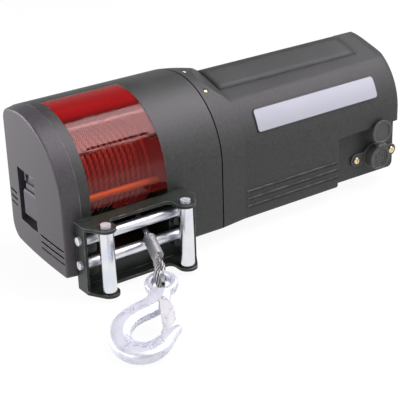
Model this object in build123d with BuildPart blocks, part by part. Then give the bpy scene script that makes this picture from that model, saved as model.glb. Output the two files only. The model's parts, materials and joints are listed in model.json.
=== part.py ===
from build123d import *
from math import atan2, cos, degrees, pi, radians, sin, sqrt, tan
import os

# Electric recovery winch: a drum between two castings, a motor under a long cover, a roller fairlead in front.
# Sizes are in millimetres. X runs along the drum towards the motor, -Y faces the fairlead and +Z is up.
# The origin is on the floor, in the middle of the four foot bolts.

os.makedirs("parts", exist_ok=True)

# Fits
run_fit = 0.06
roller_fit = 0.08
part_gap = 0.3
shell_gap = 0.4
cut_over = 1.0

# Feet
foot_pitch_x = 190.5
foot_pitch_y = 76.2
foot_bolt_r = 4.25
foot_bolt_depth = 18.0
foot_r = 9.0
foot_inset = 3.75

# Body section, seen along the drum
front_y = -92.0
back_y = 78.0
sole_z = 20.0
axis_z = 114.0
crown_r = 101.0
top_r = 150.0
back_r = 18.0
sole_r = 6.0
heel_r = 24.0
cast_wall = 6.0

# Lengths along the drum
bay_w = 113.0
clutch_band = 14.0
end_cover_depth = 24.0
web_t = 6.0
gear_len = 86.5
cover_len = 322.5

# Clutch end cover, its lever recess and its grooves
end_crown_r = 1130.0
end_crown_y = -72.0
end_taper = 4.5
end_wall = 4.0
end_round = 3.0
recess_y = (-14.0, 38.0)
recess_z = (56.0, 132.0)
recess_depth = 17.0
recess_floor = 2.5
recess_wall = 2.5
groove_h = 2.6
groove_depth = 1.2
groove_step = 9.0
front_groove_y = (-84.0, -22.0)
front_groove_z = 38.0
back_groove_y = (47.0, 70.0)
back_groove_z = 70.0

# Clutch lever, rod and dog
lever_y = (-13.0, 19.0)
lever_drop = 49.0
lever_t = 4.0
lever_barrel_r = 4.0
lever_pin_r = 2.5
lever_pin_depth = 12.5
lever_pin_z = 122.0
lug_t = 3.0
rod_r = 3.0
rod_out = 10.5
rod_play = 0.7
dog_r = 21.0
dog_t = 4.0
dog_cap_t = 1.5
dog_tooth_w = 11.2
dog_tooth_len = 3.5
dog_teeth = 4
dog_play = 0.2
dog_tooth_ease = 1.0

# Drum and rope
shaft_r = 12.0
shaft_flat = 0.5
hub_r = 22.0
hub_over = 1.5
bush_wall = 4.0
drum_core_r = 34.0
drum_flange_r = 62.5
drum_flange_t = 4.0
drum_side_gap = 4.5
rope_core_r = 50.0
rope_d = 7.5
rope_lay_gap = 0.5
rope_seat_gap = 0.25

# Planetary gears
module = 2.5
sun_teeth = 12
planet_teeth = 12
ring_teeth = 36
gear_addendum = 0.7
gear_dedendum = 1.05
ring_addendum = 0.6
flank_angle = 25.0
backlash = 0.8
output_gear_w = 17.5
input_gear_w = 15.5
gear_gap = 1.0
carrier_r = 41.0
carrier_t = 6.0
planet_pin_r = 5.0
neck_r = 9.0
neck_len = 3.0
ring_wall = 6.4
seat_wall = 6.0
seat_rib_y = 34.0
seat_rib_t = 8.0

# Brake and motor
motor_shaft_r = 8.0
sun_shaft_r = 6.0
sun_shank_r = 10.0
brake_r = 30.0
brake_t = 3.5
lining_t = 3.2
lining_clear = 2.0
gear_plate_t = 8.0
bearing_r = 16.0
rear_bearing_w = 8.0
motor_r = 56.0
motor_wall = 4.0
motor_len = 150.0
magnet_t = 6.0
magnet_span = 70.0
magnet_count = 4
magnet_inset = 24.0
magnet_len = 100.0
air_gap = 0.7
commutator_r = 20.0
commutator_len = 16.0
brush_w = 10.0
brush_len = 13.0
bell_t = 22.0
contactor_len = 92.0
contactor_w = 80.0
contactor_h = 76.0
stud_r = 4.0
stud_len = 12.0

# Motor cover
cover_wall = 3.0
shoulder_len = 40.5
shoulder_inset = 5.0
end_inset = 8.5
cover_round = 8.0
facet_angle = 105.85
facet_depth = 16.7
facet_clear = 26.0
facet_ramp = 1.75
rear_angle = 57.0
rear_y = 22.0
pocket_len = 243.0
pocket_front = 14.0
pocket_depth = 1.5
pocket_corner = 9.0
notch_start = 205.5
notch_y = -70.0
notch_z = 97.0
notch_corner = 6.0
rib_x = (43.0, 203.0)
rib_z = (60.0, 49.0, 38.0)
rib_h = 2.4
rib_proud = 1.2
plate_x = (65.5, 280.5)
plate_z = (140.0, 169.5)
plate_t = 1.5
plate_corner = 5.0
screw_x = 12.0
screw_angles = (120.0, 90.0)
screw_head_r = 4.0
screw_sunk = 2.0
screw_proud = 0.5

# Drum guard, rear shroud and tie bars
guard_t = 2.5
guard_back_y = 21.0
hinge_angle = 143.0
hinge_depth = 4.0
hinge_pin_r = 1.75
knuckle_r = 3.5
knuckle_end_w = 12.0
guard_edge = 4.5
flap_bottom = 106.0
tab_w = 48.0
tab_drop = 6.5
tab_corner = 3.0
shroud_t = 3.0
tie_r = 4.75
tie_seat = 3.0
tie_places = ((-68.5, 110.0), (48.0, 186.0), (56.0, 48.0))

# Roller fairlead
fair_side = 25.25
fair_t = 4.0
fair_z0 = 6.0
fair_z1 = 98.0
window_side = 2.5
window_z = (30.0, 90.0)
flange_depth = 23.5
lip_depth = 20.0
lip_round = 8.0
ear_r = 13.0
upright_inset = 23.45
upright_y = -129.2
upright_r = 9.5
upright_pin_r = 5.0
level_y = -104.5
level_z = (44.0, 77.0)
level_r = 7.25
level_pin_r = 4.0
pin_head_h = 4.0
pin_head_over = 1.5
pin_tail = 1.5
fair_bolt_z = (29.5, 60.5)
fair_bolt_r = 4.0
fair_head_r = 6.0
fair_head_h = 5.0
fair_bolt_depth = 14.0
fair_pad_depth = 18.0

# Handset socket and its dust cap
socket_x = 283.5
socket_z = 48.0
socket_r = 17.5
socket_reach = 18.0
socket_bore_r = 11.0
socket_bore_depth = 12.0
socket_step_r = 14.5
socket_step_depth = 2.0
socket_rim = 1.0
socket_barrel_r = 12.0
socket_barrel_len = 20.0
flange_pitch = 67.0
flange_r = 9.0
flange_t = 3.0
socket_screw_r = 2.5
socket_screw_head_r = 5.0
socket_screw_head_h = 3.0
socket_screw_len = 9.0
cap_t = 4.0
cap_rim = 1.4
cap_hollow = 1.5
cap_hinge_rise = 3.0
cap_hinge_out = 1.5
cap_pin_r = 1.2
cap_knuckle_r = 2.6
cap_knuckle_w = 8.0
cap_ear_w = 3.0
cap_ear_back = 2.0

# Rope end and hook
lead_route = ((42.0, -31.0, 60.0), (12.4, -104.0, 64.6), (8.7, -118.7, 59.3))
ferrule_r = 8.2
ferrule_edge = 0.5
ferrule_len = 34.0
strand_shift = 3.9
eye_x = -23.7
eye_y = -195.0
eye_outer_r = 20.5
eye_hole_r = 11.0
eye_t = 12.0
eye_round = 3.0
hook_heading = 222.8
hook_dip = 12.0
hook_t = 17.0
hook_round = 5.0
hook_bowl_round = 2.0
hook_outer = ((14.5, -13.5), (28.0, -9.0), (64.0, -41.5), (114.4, -41.5), (143.3, 3.5), (120.2, 33.4), (73.0, 42.6))
hook_outer_radii = (12.0, 38.0, 38.0, 21.0, 26.0)
hook_inner = ((68.0, 36.7), (107.5, 9.4), (103.0, -14.8), (74.0, -14.8), (45.0, 14.5), (30.0, 18.5), (14.5, 15.5))
hook_inner_radii = (12.0, 13.0, 20.0, 26.0, 30.0)
floor_gap = 0.2
thimble_r = 7.6
thimble_wall = 0.9
thimble_w = 10.0
thimble_lip_h = 3.5
thimble_span = 190.0
latch_pivot = (36.0, 11.0)
latch_angle = -8.0
latch_start = 10.0
latch_len = 50.0
latch_t = 1.5
latch_rise = 18.3
latch_pin_r = 2.0
latch_eye_r = 4.5
latch_root = 44.0
latch_tip_w = 11.0

# Stations along X, worked out from the lengths
left_foot_x = -foot_pitch_x / 2
right_foot_x = foot_pitch_x / 2
bay_l = left_foot_x + foot_inset
bay_r = bay_l + bay_w
drum_x = (bay_l + bay_r) / 2
clutch_seam = bay_l - clutch_band
end_x = clutch_seam - end_cover_depth
gear_seam = bay_r + gear_len
cover_end = gear_seam + cover_len
crown_y = front_y + crown_r

# Clutch stations
hub_l = bay_l - web_t - hub_over
hub_end = bay_r + web_t - part_gap
dog_face = hub_l - part_gap - dog_play
dog_back = dog_face - dog_t
dog_l = dog_back - dog_cap_t
shaft_l = dog_back + part_gap
recess_x = end_x + recess_depth
lever_x = end_x + lever_pin_depth

# Gear and motor stations
output_disc_l = bay_r + web_t + gear_gap
output_disc_r = output_disc_l + carrier_t
output_gear_l = output_disc_r + gear_gap
output_gear_r = output_gear_l + output_gear_w
first_disc_l = output_gear_r + neck_len
first_disc_r = first_disc_l + carrier_t
input_gear_l = first_disc_r + gear_gap
input_gear_r = input_gear_l + input_gear_w
sun_shank_end = input_gear_r + neck_len
brake_l = sun_shank_end + part_gap
brake_end = brake_l + brake_t
lining_l = brake_end + part_gap
gear_plate_l = lining_l + lining_t
motor_l = gear_plate_l + gear_plate_t
motor_end = motor_l + motor_len
bell_end = motor_end + bell_t
planet_circle_r = module * (sun_teeth + planet_teeth) / 2
ring_pitch_r = module * ring_teeth / 2
ring_outer_r = ring_pitch_r + gear_dedendum * module + ring_wall
bush_r = hub_r + bush_wall

# Drum, rope and fairlead, fitted to the bay
drum_inner_w = bay_w - 2 * (drum_flange_t + drum_side_gap)
rope_pitch = rope_d + rope_lay_gap
rope_half_turns = 2 * int((drum_inner_w - rope_d) / rope_pitch) - 1
fair_w = bay_w + 2 * fair_side
window_w = bay_w - 2 * window_side
upright_dx = fair_w / 2 - upright_inset

# Hinge of the guard flap, on the crown of the section
hinge_at = crown_r - hinge_depth
hinge_y = crown_y + hinge_at * cos(radians(hinge_angle))
hinge_z = axis_z + hinge_at * sin(radians(hinge_angle))


def body_section(skin, taper=0.0, mode=Mode.ADD):
    """Fill the outline of the winch body, drawn in by skin all round and by taper everywhere but below."""
    front = front_y + taper + skin
    back = back_y - taper - skin
    sole = sole_z + skin
    crown = crown_r - taper - skin
    top = top_r - taper - skin
    top_z = axis_z + crown_r - top_r
    corner = back_r - skin
    heel = heel_r - skin
    toe = sole_r - min(skin, 0)
    corner_y = back - corner
    corner_rise = sqrt((top - corner) ** 2 - (corner_y - crown_y) ** 2)
    corner_z = top_z + corner_rise
    corner_angle = degrees(atan2(corner_rise, corner_y - crown_y))
    with BuildLine() as rim:
        Line((front, sole + toe), (front, axis_z))
        CenterArc((crown_y, axis_z), crown, 180, -90)
        CenterArc((crown_y, top_z), top, 90, corner_angle - 90)
        CenterArc((corner_y, corner_z), corner, corner_angle, -corner_angle)
        Line((back, corner_z), (back, sole + heel))
        CenterArc((back - heel, sole + heel), heel, 0, -90)
        Line((back - heel, sole), (front + toe, sole))
        CenterArc((front + toe, sole + toe), toe, -90, -90)
    make_face(rim.edges(), mode=mode)


def body_slab(x_from, x_to, skin, mode=Mode.ADD):
    """Solid length of the body section."""
    with BuildSketch(Plane.YZ.offset(x_from)) as outline:
        body_section(skin)
    extrude(outline.sketch, amount=x_to - x_from, mode=mode)


def block(x, y, z, mode=Mode.ADD):
    """Box between two places on each axis."""
    with Locations(((x[0] + x[1]) / 2, (y[0] + y[1]) / 2, (z[0] + z[1]) / 2)):
        Box(x[1] - x[0], y[1] - y[0], z[1] - z[0], mode=mode)


def rod(start, end, radius, mode=Mode.ADD):
    """Round bar from one point to another."""
    along = Vector(*end) - Vector(*start)
    with BuildSketch(Plane(origin=start, z_dir=along)) as round_end:
        Circle(radius)
    extrude(round_end.sketch, amount=along.length, mode=mode)


def axis_plane(x):
    """Plane square to the drum's axis, with its origin on that axis."""
    return Plane(origin=(x, 0, axis_z), x_dir=(0, 1, 0), z_dir=(1, 0, 0))


def tube(x_from, x_to, outer, bore=0.0, mode=Mode.ADD):
    """Disc, sleeve or shaft about the drum's axis."""
    with BuildSketch(axis_plane(x_from)) as ring:
        Circle(outer)
        if bore > 0:
            Circle(bore, mode=Mode.SUBTRACT)
    extrude(ring.sketch, amount=x_to - x_from, mode=mode)


def save(piece, name):
    """Label a finished piece and write it."""
    piece.part.label = name
    export_step(piece.part, "parts/" + name + ".step")


# Castings either side of the drum


def foot_rail(x):
    """Cast foot under a housing, with two blind bolt holes from below."""
    with BuildSketch(Plane.XY) as pad:
        with Locations((x, 0)):
            SlotOverall(foot_pitch_y + 2 * foot_r, 2 * foot_r, rotation=90)
    extrude(pad.sketch, amount=sole_z + cast_wall)
    for y in (-foot_pitch_y / 2, foot_pitch_y / 2):
        rod((x, y, 0), (x, y, foot_bolt_depth), foot_bolt_r, Mode.SUBTRACT)


def fairlead_pad(x):
    """Thick place behind the front wall for the fairlead's bolts, with their holes."""
    half = clutch_band / 2
    block((x - half, x + half), (front_y, front_y + fair_pad_depth), (sole_z + sole_r, fair_bolt_z[1] + fair_pad_depth))
    for z in fair_bolt_z:
        rod((x, front_y, z), (x, front_y + fair_bolt_depth, z), fair_bolt_r, Mode.SUBTRACT)


def bay_seats(wall_x, side):
    """Blind seats in a bay wall for the tie bars and the flap's hinge pin."""
    for y, z in tie_places:
        rod((wall_x, y, z), (wall_x + side * tie_seat, y, z), tie_r, Mode.SUBTRACT)
    rod((wall_x, hinge_y, hinge_z), (wall_x + side * tie_seat, hinge_y, hinge_z), hinge_pin_r, Mode.SUBTRACT)


fair_bolt_x = (bay_l - clutch_band / 2, bay_r + clutch_band / 2)

with BuildPart() as clutch_housing:
    body_slab(clutch_seam, bay_l, 0)
    body_slab(clutch_seam, bay_l - web_t, cast_wall, Mode.SUBTRACT)
    fairlead_pad(fair_bolt_x[0])
    foot_rail(left_foot_x)
    bay_seats(bay_l, -1)
    tube(bay_l - web_t, bay_l, bush_r, mode=Mode.SUBTRACT)
save(clutch_housing, "clutch_housing")

with BuildPart() as centre_housing:
    body_slab(bay_r, gear_seam, 0)
    body_slab(bay_r + web_t, gear_seam, cast_wall, Mode.SUBTRACT)
    for rib_y in (-seat_rib_y, seat_rib_y):
        block(
            (bay_r + web_t, gear_plate_l),
            (rib_y - seat_rib_t / 2, rib_y + seat_rib_t / 2),
            (sole_z + cast_wall / 2, axis_z - seat_rib_y),
        )
    tube(bay_r + web_t, gear_plate_l, ring_outer_r + seat_wall)
    tube(bay_r + web_t, gear_plate_l, ring_outer_r, mode=Mode.SUBTRACT)
    fairlead_pad(fair_bolt_x[1])
    foot_rail(right_foot_x)
    bay_seats(bay_r, 1)
    tube(bay_r, bay_r + web_t, bush_r, mode=Mode.SUBTRACT)
save(centre_housing, "centre_housing")

# Clutch end cover, crowned in plan


def end_form(skin):
    """Solid end cover, drawn in by skin on its rim and on its crowned face."""
    cuts = []
    for x, inset in ((end_x + skin, end_taper), (clutch_seam, 0)):
        with BuildSketch(Plane.YZ.offset(x)) as cut:
            body_section(skin, inset)
        cuts.append(cut.sketch)
    with BuildPart() as form:
        loft(cuts, ruled=True)
        with Locations((end_x + end_crown_r, end_crown_y, axis_z)):
            Cylinder(end_crown_r - skin, 4 * crown_r, mode=Mode.INTERSECT)
    return form.part


lug_y = (lever_y[1] + shell_gap, lever_y[1] + shell_gap + lug_t)

with BuildPart() as recess_block:
    add(end_form(0))
    block(
        (end_x - cut_over, recess_x + recess_floor),
        (recess_y[0] - recess_wall, recess_y[1] + recess_wall),
        (recess_z[0] - recess_wall, recess_z[1] + recess_wall),
        Mode.INTERSECT,
    )

with BuildPart() as groove_cut:
    for row in range(3):
        for span, low in ((front_groove_y, front_groove_z), (back_groove_y, back_groove_z)):
            low_z = low + row * groove_step
            block((end_x - cut_over, clutch_seam), span, (low_z, low_z + groove_h))
    add(end_form(-cut_over), mode=Mode.INTERSECT)
    add(end_form(groove_depth), mode=Mode.SUBTRACT)

with BuildPart() as clutch_cover:
    add(end_form(0))
    crowned = clutch_cover.faces().filter_by(GeomType.CYLINDER).sort_by(SortBy.AREA)[-1]
    fillet(crowned.edges(), end_round)
    add(end_form(end_wall), mode=Mode.SUBTRACT)
    add(recess_block.part)
    block((end_x - cut_over, recess_x), recess_y, recess_z, Mode.SUBTRACT)
    block((lever_x - 5, recess_x), lug_y, (lever_pin_z - 6, recess_z[1]))
    rod((recess_x, 0, axis_z), (recess_x + recess_floor, 0, axis_z), rod_r + part_gap, Mode.SUBTRACT)
    rod((lever_x, recess_y[0] - recess_wall, lever_pin_z), (lever_x, lug_y[1], lever_pin_z), lever_pin_r, Mode.SUBTRACT)
    add(groove_cut.part, mode=Mode.SUBTRACT)
save(clutch_cover, "clutch_cover")

# Clutch lever, rod and dog

with BuildPart() as lever_pin:
    rod((lever_x, recess_y[0] - recess_wall, lever_pin_z), (lever_x, lug_y[1], lever_pin_z), lever_pin_r)
save(lever_pin, "lever_pin")

slot_half = rod_r + rod_play
lever_plate_x = (lever_x - lever_t + 1, lever_x + 1)

with BuildPart() as clutch_lever:
    with BuildSketch(Plane.YZ.offset(lever_plate_x[0])) as lever_face:
        with Locations(((lever_y[0] + lever_y[1]) / 2, lever_pin_z - lever_drop / 2)):
            RectangleRounded(lever_y[1] - lever_y[0], lever_drop, lever_barrel_r)
        with Locations((0, axis_z - rod_r)):
            Rectangle(2 * slot_half, 4 * rod_r + 2 * rod_play, mode=Mode.SUBTRACT)
    extrude(amount=lever_t)
    rod((lever_x, lever_y[0], lever_pin_z), (lever_x, lever_y[1], lever_pin_z), lever_barrel_r)
    rod((lever_x, lever_y[0], lever_pin_z), (lever_x, lever_y[1], lever_pin_z), lever_pin_r + run_fit, Mode.SUBTRACT)
    foot_z = lever_pin_z - lever_drop
    block((lever_plate_x[0] - 3, lever_plate_x[0] + 1), lever_y, (foot_z + 4, foot_z + 8))
save(clutch_lever, "clutch_lever")

with BuildPart() as clutch_rod:
    rod((end_x + rod_out, 0, axis_z), (dog_l - part_gap, 0, axis_z), rod_r)
save(clutch_rod, "clutch_rod")

with BuildPart() as clutch_dog:
    tube(dog_l, dog_face, dog_r)
    with BuildSketch(axis_plane(dog_face)) as dog_tooth_face:
        with PolarLocations((dog_r + shaft_r) / 2, dog_teeth):
            Rectangle(dog_r - shaft_r - dog_tooth_ease, dog_tooth_w)
        Circle(dog_r, mode=Mode.INTERSECT)
    extrude(amount=hub_l + dog_tooth_len - dog_face)
    with BuildSketch(axis_plane(dog_back)) as dog_bore:
        RegularPolygon(shaft_r - shaft_flat + part_gap, 6)
    extrude(amount=hub_l + dog_tooth_len - dog_back, mode=Mode.SUBTRACT)
save(clutch_dog, "clutch_dog")

# Drum, its bushes and the rope on it

drum_inner_l = drum_x - drum_inner_w / 2
drum_inner_r = drum_x + drum_inner_w / 2

with BuildPart() as drum:
    tube(hub_l, hub_end, hub_r)
    tube(drum_inner_l, drum_inner_r, drum_core_r)
    tube(drum_inner_l - drum_flange_t, drum_inner_l, drum_flange_r)
    tube(drum_inner_r, drum_inner_r + drum_flange_t, drum_flange_r)
    rims = drum.edges().filter_by(GeomType.CIRCLE).filter_by(lambda e: abs(e.radius - drum_flange_r) < 0.01)
    fillet(rims, drum_flange_t / 4)
    tube(hub_l, hub_end, shaft_r + run_fit, mode=Mode.SUBTRACT)
    with BuildSketch(axis_plane(hub_l)) as dog_notch:
        with PolarLocations((dog_r + shaft_r) / 2, dog_teeth):
            Rectangle(hub_r, dog_tooth_w + 2 * part_gap)
    extrude(amount=dog_tooth_len + part_gap + dog_play, mode=Mode.SUBTRACT)
save(drum, "drum")

with BuildPart() as drum_bushes:
    tube(bay_l - web_t, bay_l, bush_r, hub_r + run_fit)
    tube(bay_r, bay_r + web_t, bush_r, hub_r + run_fit)
save(drum_bushes, "drum_bushes")

with BuildPart() as rope_core:
    tube(drum_inner_l, drum_inner_r, rope_core_r, drum_core_r)
save(rope_core, "rope_core")

lay_r = rope_core_r + rope_seat_gap + rope_d / 2
lay_w = rope_half_turns * rope_pitch / 2
lay_l = drum_x - lay_w / 2
lay_slope = rope_pitch / (2 * pi * lay_r)


def lay_point(half_turn):
    """Place of the rope's centre after a number of half turns, and its heading there."""
    angle = radians(180 * (rope_half_turns - half_turn) - 90)
    place = Vector(lay_l + half_turn * rope_pitch / 2, lay_r * cos(angle), axis_z + lay_r * sin(angle))
    heading = Vector(lay_slope, sin(angle), -cos(angle)).normalized()
    return place, heading


def biarc(start, start_way, end, end_way):
    """Two arcs that leave one point and reach another, tangent to a heading at each."""
    span = end - start
    ways = start_way + end_way
    square = ways.dot(ways) - 4
    half = span.dot(ways)
    reach = (half - sqrt(half * half - square * span.dot(span))) / square
    first = start + start_way * reach
    last = end - end_way * reach
    middle = (first + last) * 0.5
    TangentArc(start, middle, tangent=start_way)
    TangentArc(middle, end, tangent=last - first)


def closest_turn(path, tube_d, steps):
    """Least gap between a tube and itself, over points further apart along it than three diameters."""
    points = [path.position_at(i / steps) for i in range(steps + 1)]
    skip = int(3 * tube_d * steps / path.length) + 1
    least = path.length
    for i, point in enumerate(points):
        for other in points[i + skip:]:
            least = min(least, (other - point).length)
    return least - tube_d


with BuildPart() as rope_winding:
    with BuildLine() as lay:
        lay_start, lay_way = lay_point(0)
        Line(lay_start - lay_way * rope_d, lay_start)
        for step in range(rope_half_turns):
            here, here_way = lay_point(step)
            there, there_way = lay_point(step + 1)
            biarc(here, here_way, there, there_way)
        lay_end, lay_end_way = lay_point(rope_half_turns)
        Line(lay_end, lay_end + lay_end_way * rope_d)
    with BuildSketch(Plane(origin=lay_start - lay_way * rope_d, z_dir=lay_way)):
        Circle(rope_d / 2)
    sweep()
lay_path = lay.wires()[0]
rope_area = pi * rope_d * rope_d / 4
print("rope winding: least gap to itself %.2f mm" % closest_turn(lay_path, rope_d, 1600))
print("rope winding: volume %.0f, section times length %.0f" % (rope_winding.part.volume, rope_area * lay_path.length))
save(rope_winding, "rope_winding")

# Planetary gear train


def wheel_points(teeth, tip, root):
    """Corners of a straight-flanked wheel, four a tooth, with a tooth centred on the first axis."""
    pitch_r = module * teeth / 2
    half = pi / (2 * teeth) - backlash / (2 * pitch_r)
    slope = tan(radians(flank_angle))
    tip_half = half - abs(tip - pitch_r) * slope / tip
    root_half = min(half + abs(root - pitch_r) * slope / root, 0.95 * pi / teeth)
    corners = []
    for tooth in range(teeth):
        middle = 2 * pi * tooth / teeth
        for radius, angle in ((root, -root_half), (tip, -tip_half), (tip, tip_half), (root, root_half)):
            corners.append((radius * cos(middle + angle), radius * sin(middle + angle)))
    return corners


def outer_wheel(teeth, turn, bore=0.0):
    """Fill the outline of a wheel with outward teeth."""
    pitch_r = module * teeth / 2
    corners = wheel_points(teeth, pitch_r + gear_addendum * module, pitch_r - gear_dedendum * module)
    Polygon(*corners, rotation=turn, align=None)
    if bore > 0:
        Circle(bore, mode=Mode.SUBTRACT)


def planet_place(index):
    """Place of a planet's axis about the drum's axis."""
    angle = radians(120 * index)
    return planet_circle_r * cos(angle), axis_z + planet_circle_r * sin(angle)


def planet_pins(x_from, x_to):
    """Three pins that carry the planets."""
    for index in range(3):
        y, z = planet_place(index)
        rod((x_from, y, z), (x_to, y, z), planet_pin_r)


with BuildPart() as output_shaft:
    with BuildSketch(axis_plane(shaft_l)) as drive_end:
        RegularPolygon(shaft_r - shaft_flat, 6)
    extrude(amount=hub_l + dog_tooth_len + 1 - shaft_l)
    tube(hub_l + dog_tooth_len + 1, output_disc_l, shaft_r)
    tube(output_disc_l, output_disc_r, carrier_r)
    planet_pins(output_disc_r, output_gear_r + gear_gap / 2)
save(output_shaft, "output_shaft")

with BuildPart() as first_carrier:
    with BuildSketch(axis_plane(output_gear_l)) as sun_face:
        outer_wheel(sun_teeth, 0)
    extrude(amount=output_gear_w)
    tube(output_gear_r, first_disc_l, neck_r)
    tube(first_disc_l, first_disc_r, carrier_r)
    planet_pins(first_disc_r, input_gear_r + gear_gap / 2)
save(first_carrier, "first_carrier")

with BuildPart() as input_sun:
    with BuildSketch(axis_plane(input_gear_l)) as drive_face:
        outer_wheel(sun_teeth, 0)
    extrude(amount=input_gear_w)
    tube(input_gear_r, sun_shank_end, sun_shank_r)
    tube(input_gear_l + neck_len, sun_shank_end, sun_shaft_r, mode=Mode.SUBTRACT)
save(input_sun, "input_sun")

half_tooth = 180 / planet_teeth
for stage, gear_l, gear_w in (("output", output_gear_l, output_gear_w), ("input", input_gear_l, input_gear_w)):
    for index in range(3):
        planet_y, planet_z = planet_place(index)
        with BuildPart() as planet:
            with BuildSketch(Plane(origin=(gear_l, planet_y, planet_z), x_dir=(0, 1, 0), z_dir=(1, 0, 0))) as planet_face:
                outer_wheel(planet_teeth, half_tooth, planet_pin_r + run_fit)
            extrude(amount=gear_w)
        save(planet, "%s_planet_%d" % (stage, index + 1))

with BuildPart() as ring_gear:
    with BuildSketch(axis_plane(output_disc_r + gear_gap / 2)) as ring_face:
        Circle(ring_outer_r)
        ring_tip = ring_pitch_r - ring_addendum * module
        ring_root = ring_pitch_r + gear_dedendum * module
        Polygon(*wheel_points(ring_teeth, ring_tip, ring_root), align=None, mode=Mode.SUBTRACT)
    extrude(amount=input_gear_r + gear_gap - output_disc_r)
save(ring_gear, "ring_gear")

with BuildPart() as gearbox_plate:
    tube(gear_plate_l, motor_l, ring_outer_r + seat_wall, bearing_r)
save(gearbox_plate, "gearbox_plate")

# Brake and motor

with BuildPart() as brake_disc:
    tube(brake_l, brake_end, brake_r, sun_shaft_r)
save(brake_disc, "brake_disc")

with BuildPart() as brake_lining:
    tube(lining_l, gear_plate_l, brake_r, bearing_r + lining_clear)
save(brake_lining, "brake_lining")

with BuildPart() as motor_case:
    tube(motor_l, motor_end, motor_r, motor_r - motor_wall)
save(motor_case, "motor_case")

magnet_outer = motor_r - motor_wall
magnet_inner = magnet_outer - magnet_t
magnet_l = motor_l + magnet_inset

with BuildPart() as field_magnets:
    with BuildSketch(axis_plane(magnet_l)) as magnet_faces:
        with BuildLine() as magnet_edge:
            outer_arc = CenterArc((0, 0), magnet_outer, -magnet_span / 2, magnet_span)
            inner_arc = CenterArc((0, 0), magnet_inner, -magnet_span / 2, magnet_span)
            Line(outer_arc @ 0, inner_arc @ 0)
            Line(outer_arc @ 1, inner_arc @ 1)
        make_face()
    for index in range(magnet_count):
        turned = magnet_faces.sketch.rotate(Axis((magnet_l, 0, axis_z), (1, 0, 0)), 45 + index * 360 / magnet_count)
        extrude(turned, amount=magnet_len)
save(field_magnets, "field_magnets")

core_r = magnet_inner - air_gap
core_l = magnet_l + 3
core_end = magnet_l + magnet_len - 3
slot_count = 12

with BuildPart() as armature:
    tube(core_l, core_end, core_r)
    with BuildSketch(axis_plane(core_l)) as winding_slots:
        with PolarLocations(core_r, slot_count):
            Rectangle(2 * magnet_t, 4)
    extrude(amount=core_end - core_l, mode=Mode.SUBTRACT)
    tube(input_gear_l + neck_len, gear_plate_l - 1, sun_shaft_r)
    tube(gear_plate_l - 1, bell_end - bell_t / 6, motor_shaft_r)
save(armature, "armature")

commutator_l = motor_end - commutator_len - 3

with BuildPart() as commutator:
    tube(commutator_l, commutator_l + commutator_len, commutator_r, motor_shaft_r)
save(commutator, "commutator")

with BuildPart() as brushes:
    for index in range(4):
        angle = radians(90 * index)
        way_y, way_z = cos(angle), sin(angle)
        near = commutator_r + part_gap
        with BuildSketch(
            Plane(
                origin=(motor_end - commutator_len / 2, near * way_y, axis_z + near * way_z),
                x_dir=(1, 0, 0),
                z_dir=(0, way_y, way_z),
            )
        ) as brush_face:
            Rectangle(commutator_len, brush_w)
        extrude(amount=brush_len)
save(brushes, "brushes")

bell_bearing_l = motor_end + bell_t / 2 - 2

with BuildPart() as motor_end_bell:
    tube(motor_end, bell_end, motor_r)
    tube(motor_end, bell_bearing_l, motor_shaft_r + 1, mode=Mode.SUBTRACT)
    tube(bell_bearing_l, bell_end - bell_t / 6 + part_gap, bearing_r, mode=Mode.SUBTRACT)
    bell_rim = motor_end_bell.faces().sort_by(Axis.X)[-1].edges()
    chamfer(bell_rim, motor_wall)
save(motor_end_bell, "motor_end_bell")

with BuildPart() as motor_bearings:
    tube(gear_plate_l, motor_l, bearing_r, motor_shaft_r + run_fit)
    tube(bell_bearing_l, bell_bearing_l + rear_bearing_w, bearing_r, motor_shaft_r + run_fit)
save(motor_bearings, "motor_bearings")

contactor_end = bell_end + contactor_len

with BuildPart() as contactor:
    block(
        (bell_end, contactor_end),
        (-contactor_w / 2, contactor_w / 2),
        (axis_z - contactor_h / 2, axis_z + contactor_h / 2),
    )
    fillet(contactor.edges().filter_by(Axis.X), 5)
save(contactor, "contactor")

with BuildPart() as contactor_studs:
    for y in (-contactor_w / 4, contactor_w / 4):
        for z in (axis_z - contactor_h / 4, axis_z + contactor_h / 4):
            rod((contactor_end, y, z), (contactor_end + stud_len, y, z), stud_r)
save(contactor_studs, "contactor_studs")

# Motor cover, tapered, with a flat on the crown, a slope behind it and a notch at the lower right

shoulder_x = gear_seam + shoulder_len
notch_x = gear_seam + notch_start
facet_x = gear_seam + screw_x + screw_head_r + facet_clear
facet_way = Vector(0, cos(radians(facet_angle)), sin(radians(facet_angle)))
facet_foot = Vector(facet_x, crown_y, axis_z) + facet_way * (crown_r - facet_depth)
rear_way = Vector(0, cos(radians(rear_angle)), sin(radians(rear_angle)))
rear_rise = (crown_r - facet_depth - (rear_y - crown_y) * facet_way.Y) / facet_way.Z
rear_foot = Vector(facet_x, rear_y, axis_z + rear_rise)
along = Vector(1, 0, 0)


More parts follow.
